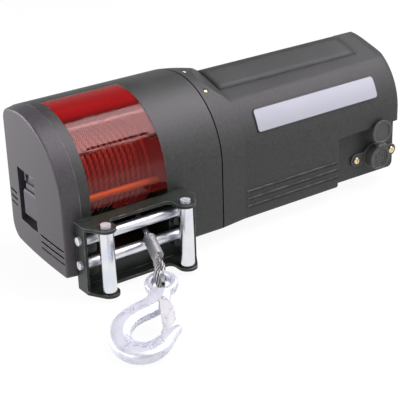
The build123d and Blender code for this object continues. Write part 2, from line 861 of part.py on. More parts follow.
def cover_form(skin):
    """Solid motor cover, drawn in by skin on every face but the open one."""
    far = cover_end - skin
    cuts = []
    for x, inset in ((gear_seam, 0), (shoulder_x, shoulder_inset), (far, end_inset)):
        with BuildSketch(Plane.YZ.offset(x)) as cut:
            body_section(skin, inset)
        cuts.append(cut.sketch)
    with BuildPart() as form:
        loft(cuts, ruled=True)
        fillet(form.faces().sort_by(Axis.X)[-1].edges(), cover_round - max(skin, 0))
        rise = crown_r - end_inset
        for foot, way in ((facet_foot, facet_way), (rear_foot, rear_way)):
            with BuildSketch(Plane(foot - way * skin, along, along.cross(way))) as facet:
                Polygon((0, 0), (-rise * facet_ramp, rise), (cover_len, rise), (cover_len, 0), align=None)
            extrude(facet.sketch, amount=crown_r, both=True, mode=Mode.SUBTRACT)
        with BuildSketch(Plane.XZ.offset(-notch_y - skin)) as notch:
            with Locations((notch_x - skin + cover_len / 2, notch_z + skin - crown_r)):
                RectangleRounded(cover_len, 2 * crown_r, notch_corner + skin)
        extrude(notch.sketch, amount=crown_r, mode=Mode.SUBTRACT)
    return form.part


def cover_screw(angle, low, high, radius, mode=Mode.ADD):
    """Round piece square to the crown by the seam, from one height over the surface to another."""
    way = Vector(0, cos(radians(angle)), sin(radians(angle)))
    inset = shoulder_inset * screw_x / shoulder_len
    middle = Vector(gear_seam + screw_x, crown_y, axis_z)
    skin_r = crown_r - inset
    rod(tuple(middle + way * (skin_r + low)), tuple(middle + way * (skin_r + high)), radius, mode)


with BuildPart() as cover_ribs:
    for z in rib_z:
        block((gear_seam + rib_x[0], gear_seam + rib_x[1]), (front_y - crown_r, 0), (z, z + rib_h))
    add(cover_form(-rib_proud), mode=Mode.INTERSECT)
    add(cover_form(cover_wall / 2), mode=Mode.SUBTRACT)

socket_axis_x = gear_seam + socket_x

with BuildPart() as motor_cover:
    add(cover_form(0))
    add(cover_form(cover_wall), mode=Mode.SUBTRACT)
    add(cover_ribs.part)
    with BuildSketch(Plane(facet_foot, along, facet_way)) as pocket:
        with Locations((pocket_len / 2, crown_r / 2 - pocket_front)):
            RectangleRounded(pocket_len, crown_r, pocket_corner)
    extrude(pocket.sketch, amount=-pocket_depth, mode=Mode.SUBTRACT)
    for angle in screw_angles:
        cover_screw(angle, -screw_sunk, crown_r, screw_head_r, Mode.SUBTRACT)
    rod(
        (socket_axis_x, notch_y - cover_wall, socket_z),
        (socket_axis_x, notch_y + 2 * cover_wall, socket_z),
        socket_barrel_r,
        Mode.SUBTRACT,
    )
    for side in (-1, 1):
        screw_at = socket_axis_x + side * flange_pitch / 2
        rod(
            (screw_at, notch_y - cover_wall, socket_z),
            (screw_at, notch_y + 2 * cover_wall, socket_z),
            socket_screw_r,
            Mode.SUBTRACT,
        )
save(motor_cover, "motor_cover")

with BuildPart() as cover_screws:
    for angle in screw_angles:
        cover_screw(angle, -screw_sunk, screw_proud, screw_head_r)
save(cover_screws, "cover_screws")

with BuildPart() as nameplate:
    with BuildSketch(Plane.XZ) as plate_face:
        with Locations((gear_seam + (plate_x[0] + plate_x[1]) / 2, (plate_z[0] + plate_z[1]) / 2)):
            RectangleRounded(plate_x[1] - plate_x[0], plate_z[1] - plate_z[0], plate_corner)
    extrude(amount=crown_r)
    add(cover_form(-plate_t), mode=Mode.INTERSECT)
    add(cover_form(0), mode=Mode.SUBTRACT)
save(nameplate, "nameplate")

# Drum guard, rear shroud and tie bars


def crown_point(angle):
    """Far point in a direction from the middle of the crown."""
    far = 3 * crown_r
    return crown_y + far * cos(radians(angle)), axis_z + far * sin(radians(angle))


def shell_band(x_from, x_to, wall, corners, mode=Mode.ADD):
    """Length of the body's skin inside a region given by its corners."""
    with BuildSketch(Plane.YZ.offset(x_from)) as band:
        body_section(0)
        body_section(wall, mode=Mode.SUBTRACT)
        Polygon(*corners, align=None, mode=Mode.INTERSECT)
    extrude(band.sketch, amount=x_to - x_from, mode=mode)


guard_l = bay_l + shell_gap
guard_r = bay_r - shell_gap
top_knuckles = ((guard_l, guard_l + knuckle_end_w), (guard_r - knuckle_end_w, guard_r))
flap_knuckle = (top_knuckles[0][1] + shell_gap, top_knuckles[1][0] - shell_gap)
edge_angle = degrees(guard_edge / crown_r)
seam_angle = degrees(hinge_pin_r / (2 * crown_r))
top_corners = (
    (crown_y, axis_z),
    crown_point(hinge_angle - edge_angle),
    (crown_y - 2 * crown_r, axis_z + 3 * crown_r),
    (guard_back_y, axis_z + 3 * crown_r),
    (guard_back_y, axis_z),
)
bridge_corners = ((crown_y, axis_z), crown_point(hinge_angle), crown_point(hinge_angle - edge_angle - 1))
flap_corners = (
    (crown_y, axis_z),
    crown_point(hinge_angle + seam_angle),
    (front_y - crown_r, axis_z),
    (front_y - crown_r, flap_bottom),
    (crown_y, flap_bottom),
)

with BuildPart() as drum_guard_top:
    shell_band(guard_l, guard_r, guard_t, top_corners)
    for start, end in top_knuckles:
        shell_band(start, end, guard_t, bridge_corners)
        rod((start, hinge_y, hinge_z), (end, hinge_y, hinge_z), knuckle_r)
    rod((guard_l, hinge_y, hinge_z), (guard_r, hinge_y, hinge_z), hinge_pin_r, Mode.SUBTRACT)
save(drum_guard_top, "drum_guard_top")

with BuildPart() as drum_guard_flap:
    shell_band(guard_l, guard_r, guard_t, flap_corners)
    for start, end in top_knuckles:
        rod(
            (start - shell_gap, hinge_y, hinge_z),
            (end + shell_gap, hinge_y, hinge_z),
            hinge_depth + guard_edge / 2,
            Mode.SUBTRACT,
        )
    rod((flap_knuckle[0], hinge_y, hinge_z), (flap_knuckle[1], hinge_y, hinge_z), knuckle_r)
    rod((guard_l, hinge_y, hinge_z), (guard_r, hinge_y, hinge_z), hinge_pin_r + run_fit, Mode.SUBTRACT)
    with BuildSketch(Plane.XZ.offset(-front_y)) as tab_face:
        with Locations((drum_x, flap_bottom)):
            RectangleRounded(tab_w, 2 * tab_drop, tab_corner)
    extrude(amount=-guard_t)
save(drum_guard_flap, "drum_guard_flap")

with BuildPart() as flap_hinge_pin:
    rod((bay_l - tie_seat, hinge_y, hinge_z), (bay_r + tie_seat, hinge_y, hinge_z), hinge_pin_r)
save(flap_hinge_pin, "flap_hinge_pin")

with BuildPart() as rear_shroud:
    shroud_front = guard_back_y + part_gap
    pan_front = front_y + sole_r
    pan_top = sole_z + 2 * shroud_t
    shell_band(
        bay_l,
        bay_r,
        shroud_t,
        (
            (shroud_front, axis_z + 3 * crown_r),
            (shroud_front, pan_top),
            (pan_front, pan_top),
            (pan_front, sole_z - crown_r),
            (back_y + crown_r, sole_z - crown_r),
            (back_y + crown_r, axis_z + 3 * crown_r),
        ),
    )
    block(
        (left_foot_x - foot_r, left_foot_x + foot_r + part_gap),
        (-foot_pitch_y, foot_pitch_y / 2 + foot_r + part_gap),
        (0, sole_z + cast_wall + part_gap),
        Mode.SUBTRACT,
    )
save(rear_shroud, "rear_shroud")

with BuildPart() as tie_bars:
    for y, z in tie_places:
        rod((bay_l - tie_seat, y, z), (bay_r + tie_seat, y, z), tie_r)
save(tie_bars, "tie_bars")

# Roller fairlead

fair_l = drum_x - fair_w / 2
fair_r = drum_x + fair_w / 2
plate_front = front_y - fair_t
flange_front = front_y - flange_depth
upright_x = (drum_x - upright_dx, drum_x + upright_dx)


def fairlead_lip(z):
    """Bent lip of the fairlead frame, with an ear round each upright pin and rounded inner corners."""
    lip_front = front_y - lip_depth
    block((fair_l, fair_r), (lip_front, front_y), (z, z + fair_t))
    for side, pin_x in ((-1, upright_x[0]), (1, upright_x[1])):
        with BuildSketch(Plane.XY.offset(z)) as ear:
            with Locations((pin_x, upright_y)):
                Circle(ear_r)
            inner_x = pin_x - side * ear_r
            outer_x = drum_x + side * fair_w / 2
            with Locations(((inner_x + outer_x) / 2, front_y - flange_depth / 2)):
                Rectangle(abs(outer_x - inner_x), flange_depth)
            make_hull()
        extrude(ear.sketch, amount=fair_t)
        with BuildSketch(Plane.XY.offset(z)) as corner:
            with Locations((inner_x - side * lip_round / 2, lip_front - lip_round / 2)):
                Rectangle(lip_round, lip_round)
            with Locations((inner_x - side * lip_round, lip_front - lip_round)):
                Circle(lip_round, mode=Mode.SUBTRACT)
        extrude(corner.sketch, amount=fair_t)


with BuildPart() as fairlead_frame:
    block((fair_l, fair_r), (plate_front, front_y), (fair_z0, fair_z1))
    block((drum_x - window_w / 2, drum_x + window_w / 2), (plate_front, front_y), window_z, Mode.SUBTRACT)
    block((fair_l, fair_l + fair_t), (flange_front, front_y), (fair_z0, fair_z1))
    block((fair_r - fair_t, fair_r), (flange_front, front_y), (fair_z0, fair_z1))
    fairlead_lip(fair_z0)
    fairlead_lip(fair_z1 - fair_t)
    for x in upright_x:
        rod((x, upright_y, fair_z0), (x, upright_y, fair_z1), upright_pin_r, Mode.SUBTRACT)
    for z in level_z:
        rod((fair_l, level_y, z), (fair_r, level_y, z), level_pin_r, Mode.SUBTRACT)
    for x in fair_bolt_x:
        for z in fair_bolt_z:
            rod((x, plate_front, z), (x, front_y, z), fair_bolt_r, Mode.SUBTRACT)
save(fairlead_frame, "fairlead_frame")

with BuildPart() as fairlead_bolts:
    for x in fair_bolt_x:
        for z in fair_bolt_z:
            rod((x, plate_front, z), (x, front_y + fair_bolt_depth, z), fair_bolt_r)
            rod((x, plate_front - fair_head_h, z), (x, plate_front, z), fair_head_r)
save(fairlead_bolts, "fairlead_bolts")


def roller(start, end, radius, pin_r, name):
    """Fairlead roller, bored for its pin and eased at the ends."""
    with BuildPart() as sleeve:
        rod(start, end, radius)
        chamfer(sleeve.edges().filter_by(GeomType.CIRCLE), 0.8)
        rod(start, end, pin_r + roller_fit, Mode.SUBTRACT)
    save(sleeve, name)


upright_z = (fair_z0 + fair_t + shell_gap, fair_z1 - fair_t - shell_gap)
level_x = (fair_l + fair_t + shell_gap, fair_r - fair_t - shell_gap)
for name, x in zip(("left_roller", "right_roller"), upright_x):
    roller((x, upright_y, upright_z[0]), (x, upright_y, upright_z[1]), upright_r, upright_pin_r, name)
for name, z in zip(("lower_roller", "upper_roller"), level_z):
    roller((level_x[0], level_y, z), (level_x[1], level_y, z), level_r, level_pin_r, name)

with BuildPart() as roller_pins:
    for x in upright_x:
        rod((x, upright_y, fair_z0 - 2 * pin_tail), (x, upright_y, fair_z1), upright_pin_r)
        rod((x, upright_y, fair_z1), (x, upright_y, fair_z1 + pin_head_h), upright_pin_r + pin_head_over)
        rod((x, upright_y, fair_z0 - pin_tail), (x, upright_y, fair_z0), upright_pin_r + pin_head_over)
    for z in level_z:
        rod((fair_l, level_y, z), (fair_r + 2 * pin_tail, level_y, z), level_pin_r)
        rod((fair_l - pin_head_h, level_y, z), (fair_l, level_y, z), level_pin_r + pin_head_over)
        rod((fair_r, level_y, z), (fair_r + pin_tail, level_y, z), level_pin_r + pin_head_over)
save(roller_pins, "roller_pins")

# Handset socket in the notch, with its dust cap flipped up

socket_face = notch_y - socket_reach
cap_hinge_y = socket_face - cap_hinge_out
cap_hinge_z = socket_z + socket_r + cap_hinge_rise
cap_z = 2 * cap_hinge_z - socket_z
cap_ear_left = socket_axis_x - cap_knuckle_w / 2 - shell_gap / 2
cap_ear_right = socket_axis_x + cap_knuckle_w / 2 + shell_gap / 2

with BuildPart() as socket_body:
    with BuildSketch(Plane.XZ.offset(-notch_y)) as flange_face:
        with Locations((socket_axis_x, socket_z)):
            SlotCenterToCenter(flange_pitch, 2 * flange_r)
            Circle(socket_r + socket_rim)
    extrude(amount=flange_t)
    rod((socket_axis_x, notch_y, socket_z), (socket_axis_x, socket_face, socket_z), socket_r)
    rod((socket_axis_x, notch_y, socket_z), (socket_axis_x, notch_y + socket_barrel_len, socket_z), socket_barrel_r)
    for x in (cap_ear_left - cap_ear_w, cap_ear_right):
        rod((x, cap_hinge_y, cap_hinge_z), (x + cap_ear_w, cap_hinge_y, cap_hinge_z), cap_knuckle_r)
        ear_back = cap_hinge_y + cap_knuckle_r + cap_ear_back
        ear_top = cap_hinge_z + cap_knuckle_r
        block((x, x + cap_ear_w), (cap_hinge_y, ear_back), (socket_z + socket_r + 2 * part_gap, ear_top))
        block((x, x + cap_ear_w), (socket_face, ear_back), (socket_z + socket_r - cap_ear_w, ear_top))
        rod((x, cap_hinge_y, cap_hinge_z), (x + cap_ear_w, cap_hinge_y, cap_hinge_z), cap_pin_r, Mode.SUBTRACT)
    rod(
        (socket_axis_x, socket_face, socket_z),
        (socket_axis_x, socket_face + socket_bore_depth, socket_z),
        socket_bore_r,
        Mode.SUBTRACT,
    )
    rod(
        (socket_axis_x, socket_face, socket_z),
        (socket_axis_x, socket_face + socket_step_depth, socket_z),
        socket_step_r,
        Mode.SUBTRACT,
    )
    for side in (-1, 1):
        screw_at = socket_axis_x + side * flange_pitch / 2
        rod((screw_at, notch_y - flange_t, socket_z), (screw_at, notch_y, socket_z), socket_screw_r, Mode.SUBTRACT)
save(socket_body, "socket_body")

with BuildPart() as socket_screws:
    for side in (-1, 1):
        screw_at = socket_axis_x + side * flange_pitch / 2
        head_y = notch_y - flange_t
        rod((screw_at, head_y, socket_z), (screw_at, head_y + socket_screw_len, socket_z), socket_screw_r)
        rod((screw_at, head_y - socket_screw_head_h, socket_z), (screw_at, head_y, socket_z), socket_screw_head_r)
save(socket_screws, "socket_screws")

with BuildPart() as cap_hinge_pin:
    rod(
        (cap_ear_left - cap_ear_w, cap_hinge_y, cap_hinge_z),
        (cap_ear_right + cap_ear_w, cap_hinge_y, cap_hinge_z),
        cap_pin_r,
    )
save(cap_hinge_pin, "cap_hinge_pin")

# The cap stands open: its hollow side faces forward, and half a turn forward shuts it on the socket.
with BuildPart() as socket_cap:
    cap_front = 2 * cap_hinge_y - socket_face + part_gap
    rod((socket_axis_x, cap_front, cap_z), (socket_axis_x, cap_front + cap_t, cap_z), socket_r)
    fillet(socket_cap.faces().sort_by(Axis.Y)[-1].edges(), cap_rim)
    rod(
        (socket_axis_x, cap_front, cap_z),
        (socket_axis_x, cap_front + cap_hollow, cap_z),
        socket_r - 2 * cap_rim,
        Mode.SUBTRACT,
    )
    knuckle_x = (socket_axis_x - cap_knuckle_w / 2, socket_axis_x + cap_knuckle_w / 2)
    rod((knuckle_x[0], cap_hinge_y, cap_hinge_z), (knuckle_x[1], cap_hinge_y, cap_hinge_z), cap_knuckle_r)
    block(
        knuckle_x,
        (cap_hinge_y, cap_hinge_y + cap_knuckle_r),
        (cap_hinge_z, cap_z - socket_r + cap_knuckle_r),
    )
    rod(
        (knuckle_x[0], cap_hinge_y, cap_hinge_z),
        (knuckle_x[1], cap_hinge_y, cap_hinge_z),
        cap_pin_r + run_fit,
        Mode.SUBTRACT,
    )
save(socket_cap, "socket_cap")

# Rope end: lead through the fairlead, ferrule, loop, thimble and hook

with BuildLine() as hook_back_line:
    FilletPolyline(*hook_outer, radius=hook_outer_radii)
with BuildLine() as hook_bowl_line:
    FilletPolyline(*hook_inner, radius=hook_inner_radii)
hook_back = hook_back_line.wires()[0]
hook_bowl = hook_bowl_line.wires()[0]

# The hook lies on the floor on the rounded edge of its bowl, with its eye held up by the rope.
heading_cos = cos(radians(hook_heading))
heading_sin = sin(radians(hook_heading))
dip_cos = cos(radians(hook_dip))
dip_sin = sin(radians(hook_dip))
hook_reach = hook_back.bounding_box().max.X
bowl_drop = (hook_reach - hook_round) * dip_sin + (hook_t / 2 - hook_round) * dip_cos + hook_round
eye = Vector(drum_x + eye_x, eye_y, bowl_drop + floor_gap)
hook_way = Vector(heading_cos * dip_cos, heading_sin * dip_cos, -dip_sin)
hook_up = Vector(heading_cos * dip_sin, heading_sin * dip_sin, dip_cos)
hook_plane = Plane(origin=eye, x_dir=hook_way, z_dir=hook_up)

lead_points = [Vector(drum_x + x, y, z) for x, y, z in lead_route]


def route_radii(points):
    """Largest arc at each corner of a route that its two runs leave room for."""
    radii = []
    for before, corner, after in zip(points, points[1:], points[2:]):
        shorter = min((corner - before).length, (after - corner).length)
        turn = (corner - before).get_angle(after - corner)
        radii.append(0.45 * shorter / tan(radians(turn / 2)))
    return radii


lead_radii = route_radii(lead_points)
print("rope lead: radii " + ", ".join("%.0f" % radius for radius in lead_radii))

with BuildPart() as rope_lead:
    with BuildLine() as lead:
        FilletPolyline(*lead_points, radius=lead_radii)
    with BuildSketch(Plane(origin=lead_points[0], z_dir=lead_points[1] - lead_points[0])):
        Circle(rope_d / 2)
    sweep()
print("rope lead: volume %.0f, section times length %.0f" % (rope_lead.part.volume, rope_area * lead.wires()[0].length))
save(rope_lead, "rope_lead")

ferrule_start = lead_points[-1]
ferrule_way = (lead_points[-1] - lead_points[-2]).normalized()
ferrule_end = ferrule_start + ferrule_way * ferrule_len

with BuildPart() as rope_ferrule:
    rod(tuple(ferrule_start), tuple(ferrule_end), ferrule_r)
    chamfer(rope_ferrule.edges().filter_by(GeomType.CIRCLE), ferrule_edge)
save(rope_ferrule, "rope_ferrule")

# The loop goes round the side of the hook's eye that faces the ferrule.
pull = eye - ferrule_end
pull_way = (pull - hook_up * pull.dot(hook_up)).normalized()
side_way = hook_up.cross(pull_way)
bar_r = (eye_outer_r + eye_hole_r) / 2
bar = eye - pull_way * bar_r
loop_r = thimble_r + thimble_wall + rope_d / 2 + 0.1
strand_way = (hook_up - ferrule_way * hook_up.dot(ferrule_way)).normalized()
strand_top = ferrule_end + strand_way * strand_shift
strand_low = ferrule_end - strand_way * strand_shift
loop_top = bar + hook_up * loop_r
loop_far = bar + pull_way * loop_r
loop_low = bar - hook_up * loop_r

with BuildPart() as rope_loop:
    with BuildLine() as loop_line:
        Line(strand_top, strand_top + ferrule_way * rope_d)
        biarc(strand_top + ferrule_way * rope_d, ferrule_way, loop_top, pull_way)
        TangentArc(loop_top, loop_far, tangent=pull_way)
        TangentArc(loop_far, loop_low, tangent=-hook_up)
        biarc(loop_low, -pull_way, strand_low + ferrule_way * rope_d, -ferrule_way)
        Line(strand_low + ferrule_way * rope_d, strand_low)
    with BuildSketch(Plane(origin=strand_top, z_dir=ferrule_way)):
        Circle(rope_d / 2)
    sweep()
print("rope loop: volume %.0f, section times length %.0f" % (rope_loop.part.volume, rope_area * loop_line.wires()[0].length))
save(rope_loop, "rope_loop")

thimble_start = pull_way.rotate(Axis((0, 0, 0), side_way), -thimble_span / 2)
thimble_base = thimble_r + thimble_wall
lip_r = thimble_base + thimble_lip_h / 2
lip_out = thimble_w / 2 - thimble_wall / 2

with BuildPart() as thimble:
    with BuildSketch(Plane(origin=bar, x_dir=thimble_start, z_dir=thimble_start.cross(side_way))) as channel:
        with Locations((thimble_r + thimble_wall / 2, 0)):
            Rectangle(thimble_wall, thimble_w)
        with Locations((lip_r, -lip_out), (lip_r, lip_out)):
            Rectangle(thimble_lip_h, thimble_wall)
    revolve(channel.sketch, axis=Axis(bar, side_way), revolution_arc=thimble_span)
save(thimble, "thimble")


def in_hook(u, w, n):
    """Place in the hook's own axes: along it, across it and over its middle plane."""
    return tuple(hook_plane.from_local_coords(Vector(u, w, n)))


def rim_edges(piece, chain):
    """Edges of a flat piece's two faces that follow one chain of its outline."""
    found = []
    for edge in piece.edges():
        place = hook_plane.to_local_coords(edge @ 0.5)
        if abs(abs(place.Z) - hook_t / 2) < 0.01 and chain.distance_to(Vector(place.X, place.Y, 0)) < 0.01:
            found.append(edge)
    return found


with BuildPart() as hook:
    with BuildSketch(hook_plane.offset(-hook_t / 2)) as hook_face:
        with BuildLine() as hook_rim:
            FilletPolyline(*hook_outer, radius=hook_outer_radii)
            FilletPolyline(*hook_inner, radius=hook_inner_radii)
            Line(hook_outer[-1], hook_inner[0])
            Line(hook_inner[-1], hook_outer[0])
        make_face()
    extrude(amount=hook_t)
    fillet(rim_edges(hook, hook_back), hook_round)
    fillet(rim_edges(hook, hook_bowl), hook_bowl_round)
    with BuildSketch(hook_plane.offset(-eye_t / 2)) as eye_face:
        Circle(eye_outer_r)
    extrude(amount=eye_t)
    eye_rims = hook.edges().filter_by(GeomType.CIRCLE).filter_by(lambda e: abs(e.radius - eye_outer_r) < 0.01)
    fillet(eye_rims, eye_round)
    rod(in_hook(0, 0, -hook_t), in_hook(0, 0, hook_t), eye_hole_r, Mode.SUBTRACT)
    hole_rims = hook.edges().filter_by(GeomType.CIRCLE).filter_by(lambda e: abs(e.radius - eye_hole_r) < 0.01)
    fillet(hole_rims, eye_round)
    rod(in_hook(*latch_pivot, -hook_t), in_hook(*latch_pivot, hook_t), latch_pin_r, Mode.SUBTRACT)
save(hook, "hook")

latch_half = hook_t / 2 + shell_gap + latch_t
latch_along = (cos(radians(latch_angle)), sin(radians(latch_angle)))


def latch_plane(n):
    """Plane over the hook's middle by n, with its origin on the latch pivot and its first axis along the latch."""
    along = hook_way * latch_along[0] + hook_plane.y_dir * latch_along[1]
    return Plane(origin=in_hook(*latch_pivot, n), x_dir=along, z_dir=hook_up)


with BuildPart() as hook_latch:
    for low in (-latch_half, latch_half - latch_t):
        with BuildSketch(latch_plane(low)) as cheek:
            Circle(latch_eye_r)
            spine_y = latch_rise - latch_t / 2
            with Locations((latch_start + latch_t / 2, spine_y), (latch_root - latch_t / 2, spine_y)):
                Circle(latch_t / 2)
            make_hull()
            Circle(latch_pin_r + run_fit, mode=Mode.SUBTRACT)
        extrude(amount=latch_t)
    with BuildSketch(latch_plane(-latch_half)) as latch_back:
        with Locations(((latch_start + latch_root) / 2, latch_rise - latch_t / 2)):
            Rectangle(latch_root - latch_start, latch_t)
    extrude(amount=2 * latch_half)
    with BuildSketch(latch_plane(-latch_tip_w / 2)) as latch_tongue:
        with Locations(((latch_start + latch_len) / 2, latch_rise - latch_t / 2)):
            Rectangle(latch_len - latch_start, latch_t)
    extrude(amount=latch_tip_w)
save(hook_latch, "hook_latch")

with BuildPart() as latch_pin:
    rod(in_hook(*latch_pivot, -latch_half - 1), in_hook(*latch_pivot, latch_half + 1), latch_pin_r)
save(latch_pin, "latch_pin")
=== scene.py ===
"""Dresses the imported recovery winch: wire rope, forged hook, screw heads, finishes, light and camera."""

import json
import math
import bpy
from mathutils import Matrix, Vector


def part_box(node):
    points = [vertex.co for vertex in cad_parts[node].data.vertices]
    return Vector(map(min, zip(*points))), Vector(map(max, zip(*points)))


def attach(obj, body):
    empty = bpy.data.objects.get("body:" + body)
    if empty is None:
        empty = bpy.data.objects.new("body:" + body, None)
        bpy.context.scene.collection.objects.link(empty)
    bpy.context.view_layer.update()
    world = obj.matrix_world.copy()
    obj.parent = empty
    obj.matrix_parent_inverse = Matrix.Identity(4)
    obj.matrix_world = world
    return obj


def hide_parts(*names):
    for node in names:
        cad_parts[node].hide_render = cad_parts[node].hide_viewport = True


bl_info = {
    "name": "Recovery Winch Dress",
    "version": (1, 0, 0),
    "blender": (4, 5, 0),
    "location": "View3D > Sidebar > Winch",
    "description": "Rope, hook, screw heads and finishes for an electric recovery winch",
    "category": "Add Mesh",
}

import bmesh
import bpy
import numpy as np
from bpy.props import FloatProperty, FloatVectorProperty, IntProperty, PointerProperty

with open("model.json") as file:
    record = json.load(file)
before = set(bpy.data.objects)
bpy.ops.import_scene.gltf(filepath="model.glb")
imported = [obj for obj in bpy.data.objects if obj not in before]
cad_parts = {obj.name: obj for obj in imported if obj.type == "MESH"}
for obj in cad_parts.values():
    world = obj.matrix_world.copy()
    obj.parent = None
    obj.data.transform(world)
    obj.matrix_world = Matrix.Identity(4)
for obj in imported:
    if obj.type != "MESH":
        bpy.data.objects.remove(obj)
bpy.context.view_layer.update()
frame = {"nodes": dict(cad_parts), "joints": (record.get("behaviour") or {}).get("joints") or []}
nodes = frame["nodes"]
joints = {joint["name"]: joint for joint in frame["joints"]}

MM = 0.001
FULL_TURN = 2 * np.pi
WHITE = (1.0, 1.0, 1.0, 1.0)

# Places in millimetres: the middle of the socket's face and of the hook's eye
SOCKET_FACE = (391.5, -88.0, 48.0)
HOOK_EYE = (-58.7, -195.0, 36.4)

# The motor cover: middle of its crown from the side, radius at the bottom of the counterbores in it and their
# angles, foot and tilt of its flat, and the place along the drum and the height past which its edges are soft
CROWN_MIDDLE = (9.0, 114.0)
COUNTERBORE = 97.52
SCREW_ANGLES = (120.0, 90.0)
PANEL_FOOT = (150.0, -14.02, 195.10)
PANEL_TILT = 105.85
SOFT_CROWN = (136.0, 162.0)

# Groups of three lines of painted shade, one over the other: the axis that they run along, where they start
# and stop on it, the lowest edge, the height of a line and the step. They are painted shade in the end
# cover's grooves and a painted shadow along the foot of the ribs.
END_GROOVE_SHADE = ((1, -84.0, -22.0, 38.0, 2.6, 9.0), (1, 47.0, 70.0, 70.0, 2.6, 9.0))
RIB_FOOT_SHADOW = ((0, 154.5, 314.5, 36.6, 1.4, 11.0),)
LINES_IN_GROUP = 3

# Strands round a rope's core, wires round a strand, points along the rope on the drum, distance between
# points of the rope outside, turns in the drum's lower layer and points from one of them to the next
STRANDS = 6
WIRES = 9
WINDING_POINTS = 1250
LEAD_STEP = 0.002
LOWER_TURNS = 12
LOWER_STEPS = 12

# How close together drawn lines lie along each axis: on upright and level pieces, and where no way shows
UPRIGHT_LINES = (900.0, 900.0, 40.0)
LEVEL_LINES = (40.0, 900.0, 900.0)
NO_LINES = (300.0, 300.0, 300.0)

drum_axis = np.array(joints["drum_spin"]["pos_m"])


# Surfaces worked out on grids


def unit(vectors):
    """Vectors divided by their lengths."""
    return vectors / np.linalg.norm(vectors, axis=-1, keepdims=True)


def circle(count):
    """Angles of points spaced evenly round a circle."""
    return np.linspace(0, FULL_TURN, count, endpoint=False)


def run_along(path):
    """Length along a line of points, from its start to each of them."""
    return np.concatenate(([0.0], np.cumsum(np.linalg.norm(np.diff(path, axis=0), axis=1))))


def grid_quads(rows, columns, ring_rows=False, ring_columns=False):
    """Corner numbers and unwrapped grid places of a grid's quads, joined round where asked."""
    row_starts = np.arange(rows if ring_rows else rows - 1)
    column_starts = np.arange(columns if ring_columns else columns - 1)
    row, column = np.meshgrid(row_starts, column_starts, indexing="ij")
    across = np.stack((row, row + 1, row + 1, row), -1).reshape(-1, 4)
    along = np.stack((column, column, column + 1, column + 1), -1).reshape(-1, 4)
    corners = (across % rows) * columns + along % columns
    return corners, np.stack((across, along), -1)


def tube_faces(rows, count, start=0):
    """Faces of a tube through rows of points, numbered from a start: its quads and its two flat ends."""
    quads, _ = grid_quads(rows, count, ring_columns=True)
    ends = np.arange(count) + np.array(((0,), (rows - 1,))) * count
    return (quads + start).tolist() + (ends + start).tolist()


def spline_through(stations, count):
    """Natural cubic spline through stations, spaced by chord length and sampled evenly."""
    stations = np.asarray(stations, float)
    knots = run_along(stations[:, :2])
    gap = np.diff(knots)
    size = len(knots)
    matrix = np.eye(size)
    inner = np.arange(1, size - 1)
    matrix[inner, inner - 1] = gap[:-1]
    matrix[inner, inner] = 2 * (gap[:-1] + gap[1:])
    matrix[inner, inner + 1] = gap[1:]
    slope = np.diff(stations, axis=0) / gap[:, None]
    right = np.zeros_like(stations)
    right[1:-1] = 6 * np.diff(slope, axis=0)
    bend = np.linalg.solve(matrix, right)
    at = np.linspace(0, knots[-1], count)
    cell = np.clip(np.searchsorted(knots, at) - 1, 0, size - 2)
    left = ((knots[cell + 1] - at) / gap[cell])[:, None]
    rest = 1 - left
    square = (gap[cell] ** 2 / 6)[:, None]
    curve = left * stations[cell] + rest * stations[cell + 1]
    return curve + square * ((left**3 - left) * bend[cell] + (rest**3 - rest) * bend[cell + 1])


def fill_mesh(name, points, faces, places=None, smooth=True, closed=True):
    """Object made of points and faces, with a UV map where places are given. A closed one faces outwards."""
    mesh = bpy.data.meshes.new(name)
    mesh.from_pydata(points.tolist(), [], faces)
    if places is not None:
        layer = mesh.uv_layers.new(name="lay")
        layer.data.foreach_set("uv", places.astype(np.float32).ravel())
    mesh.polygons.foreach_set("use_smooth", np.full(len(mesh.polygons), smooth))
    mesh.update()
    if closed:
        shell = bmesh.new()
        shell.from_mesh(mesh)
        bmesh.ops.recalc_face_normals(shell, faces=shell.faces)
        shell.to_mesh(mesh)
        shell.free()
    return show(name, mesh)


def show(name, data):
    """Object in the scene for a mesh, a curve, a lamp or a camera."""
    piece = bpy.data.objects.new(name, data)
    bpy.context.scene.collection.objects.link(piece)
    return piece


def settled_mesh(piece):
    """Mesh of an object with its modifiers or its curve worked out."""
    bpy.context.view_layer.update()
    return bpy.data.meshes.new_from_object(piece.evaluated_get(bpy.context.evaluated_depsgraph_get()))


def wire_rope(name, path, lift, radius, lay, sides=8):
    """Six round strands twisted about a straight core strand, along a path.

    A strand's middle is the path plus two thirds of the rope's radius in a direction that turns once in each
    lay; its section is a circle of one third of the radius. The lift is where the turn starts from, for the
    whole path or for each of its points. The UV map is round the strand, and along it in lays.
    """
    along = run_along(path)
    way = unit(np.gradient(path, axis=0))
    lift = unit(lift - way * np.sum(lift * way, -1, keepdims=True))
    aside = np.cross(way, lift)
    count = len(path)
    ring = circle(sides)
    points, faces, places = [], [], []
    _, cells = grid_quads(count, sides, ring_columns=True)
    for strand in range(STRANDS + 1):
        turn = FULL_TURN * (along / lay + strand / STRANDS)
        out = lift * np.cos(turn)[:, None] + aside * np.sin(turn)[:, None]
        reach = 0.0 if strand == STRANDS else radius * 2 / 3
        middle = path + out * reach
        over = np.cross(unit(np.gradient(middle, axis=0)), out)
        skin = np.cos(ring)[None, :, None] * out[:, None] + np.sin(ring)[None, :, None] * over[:, None]
        points.append((middle[:, None] + skin * radius / 3).reshape(-1, 3))
        faces += tube_faces(count, sides, strand * count * sides)
        places.append(np.stack((cells[..., 1] / sides, along[cells[..., 0]] / lay), -1).reshape(-1, 2))
        for end in (0, -1):
            places.append(np.stack((np.arange(sides) / sides, np.full(sides, along[end] / lay)), -1))
    return fill_mesh(name, np.concatenate(points), faces, np.concatenate(places))


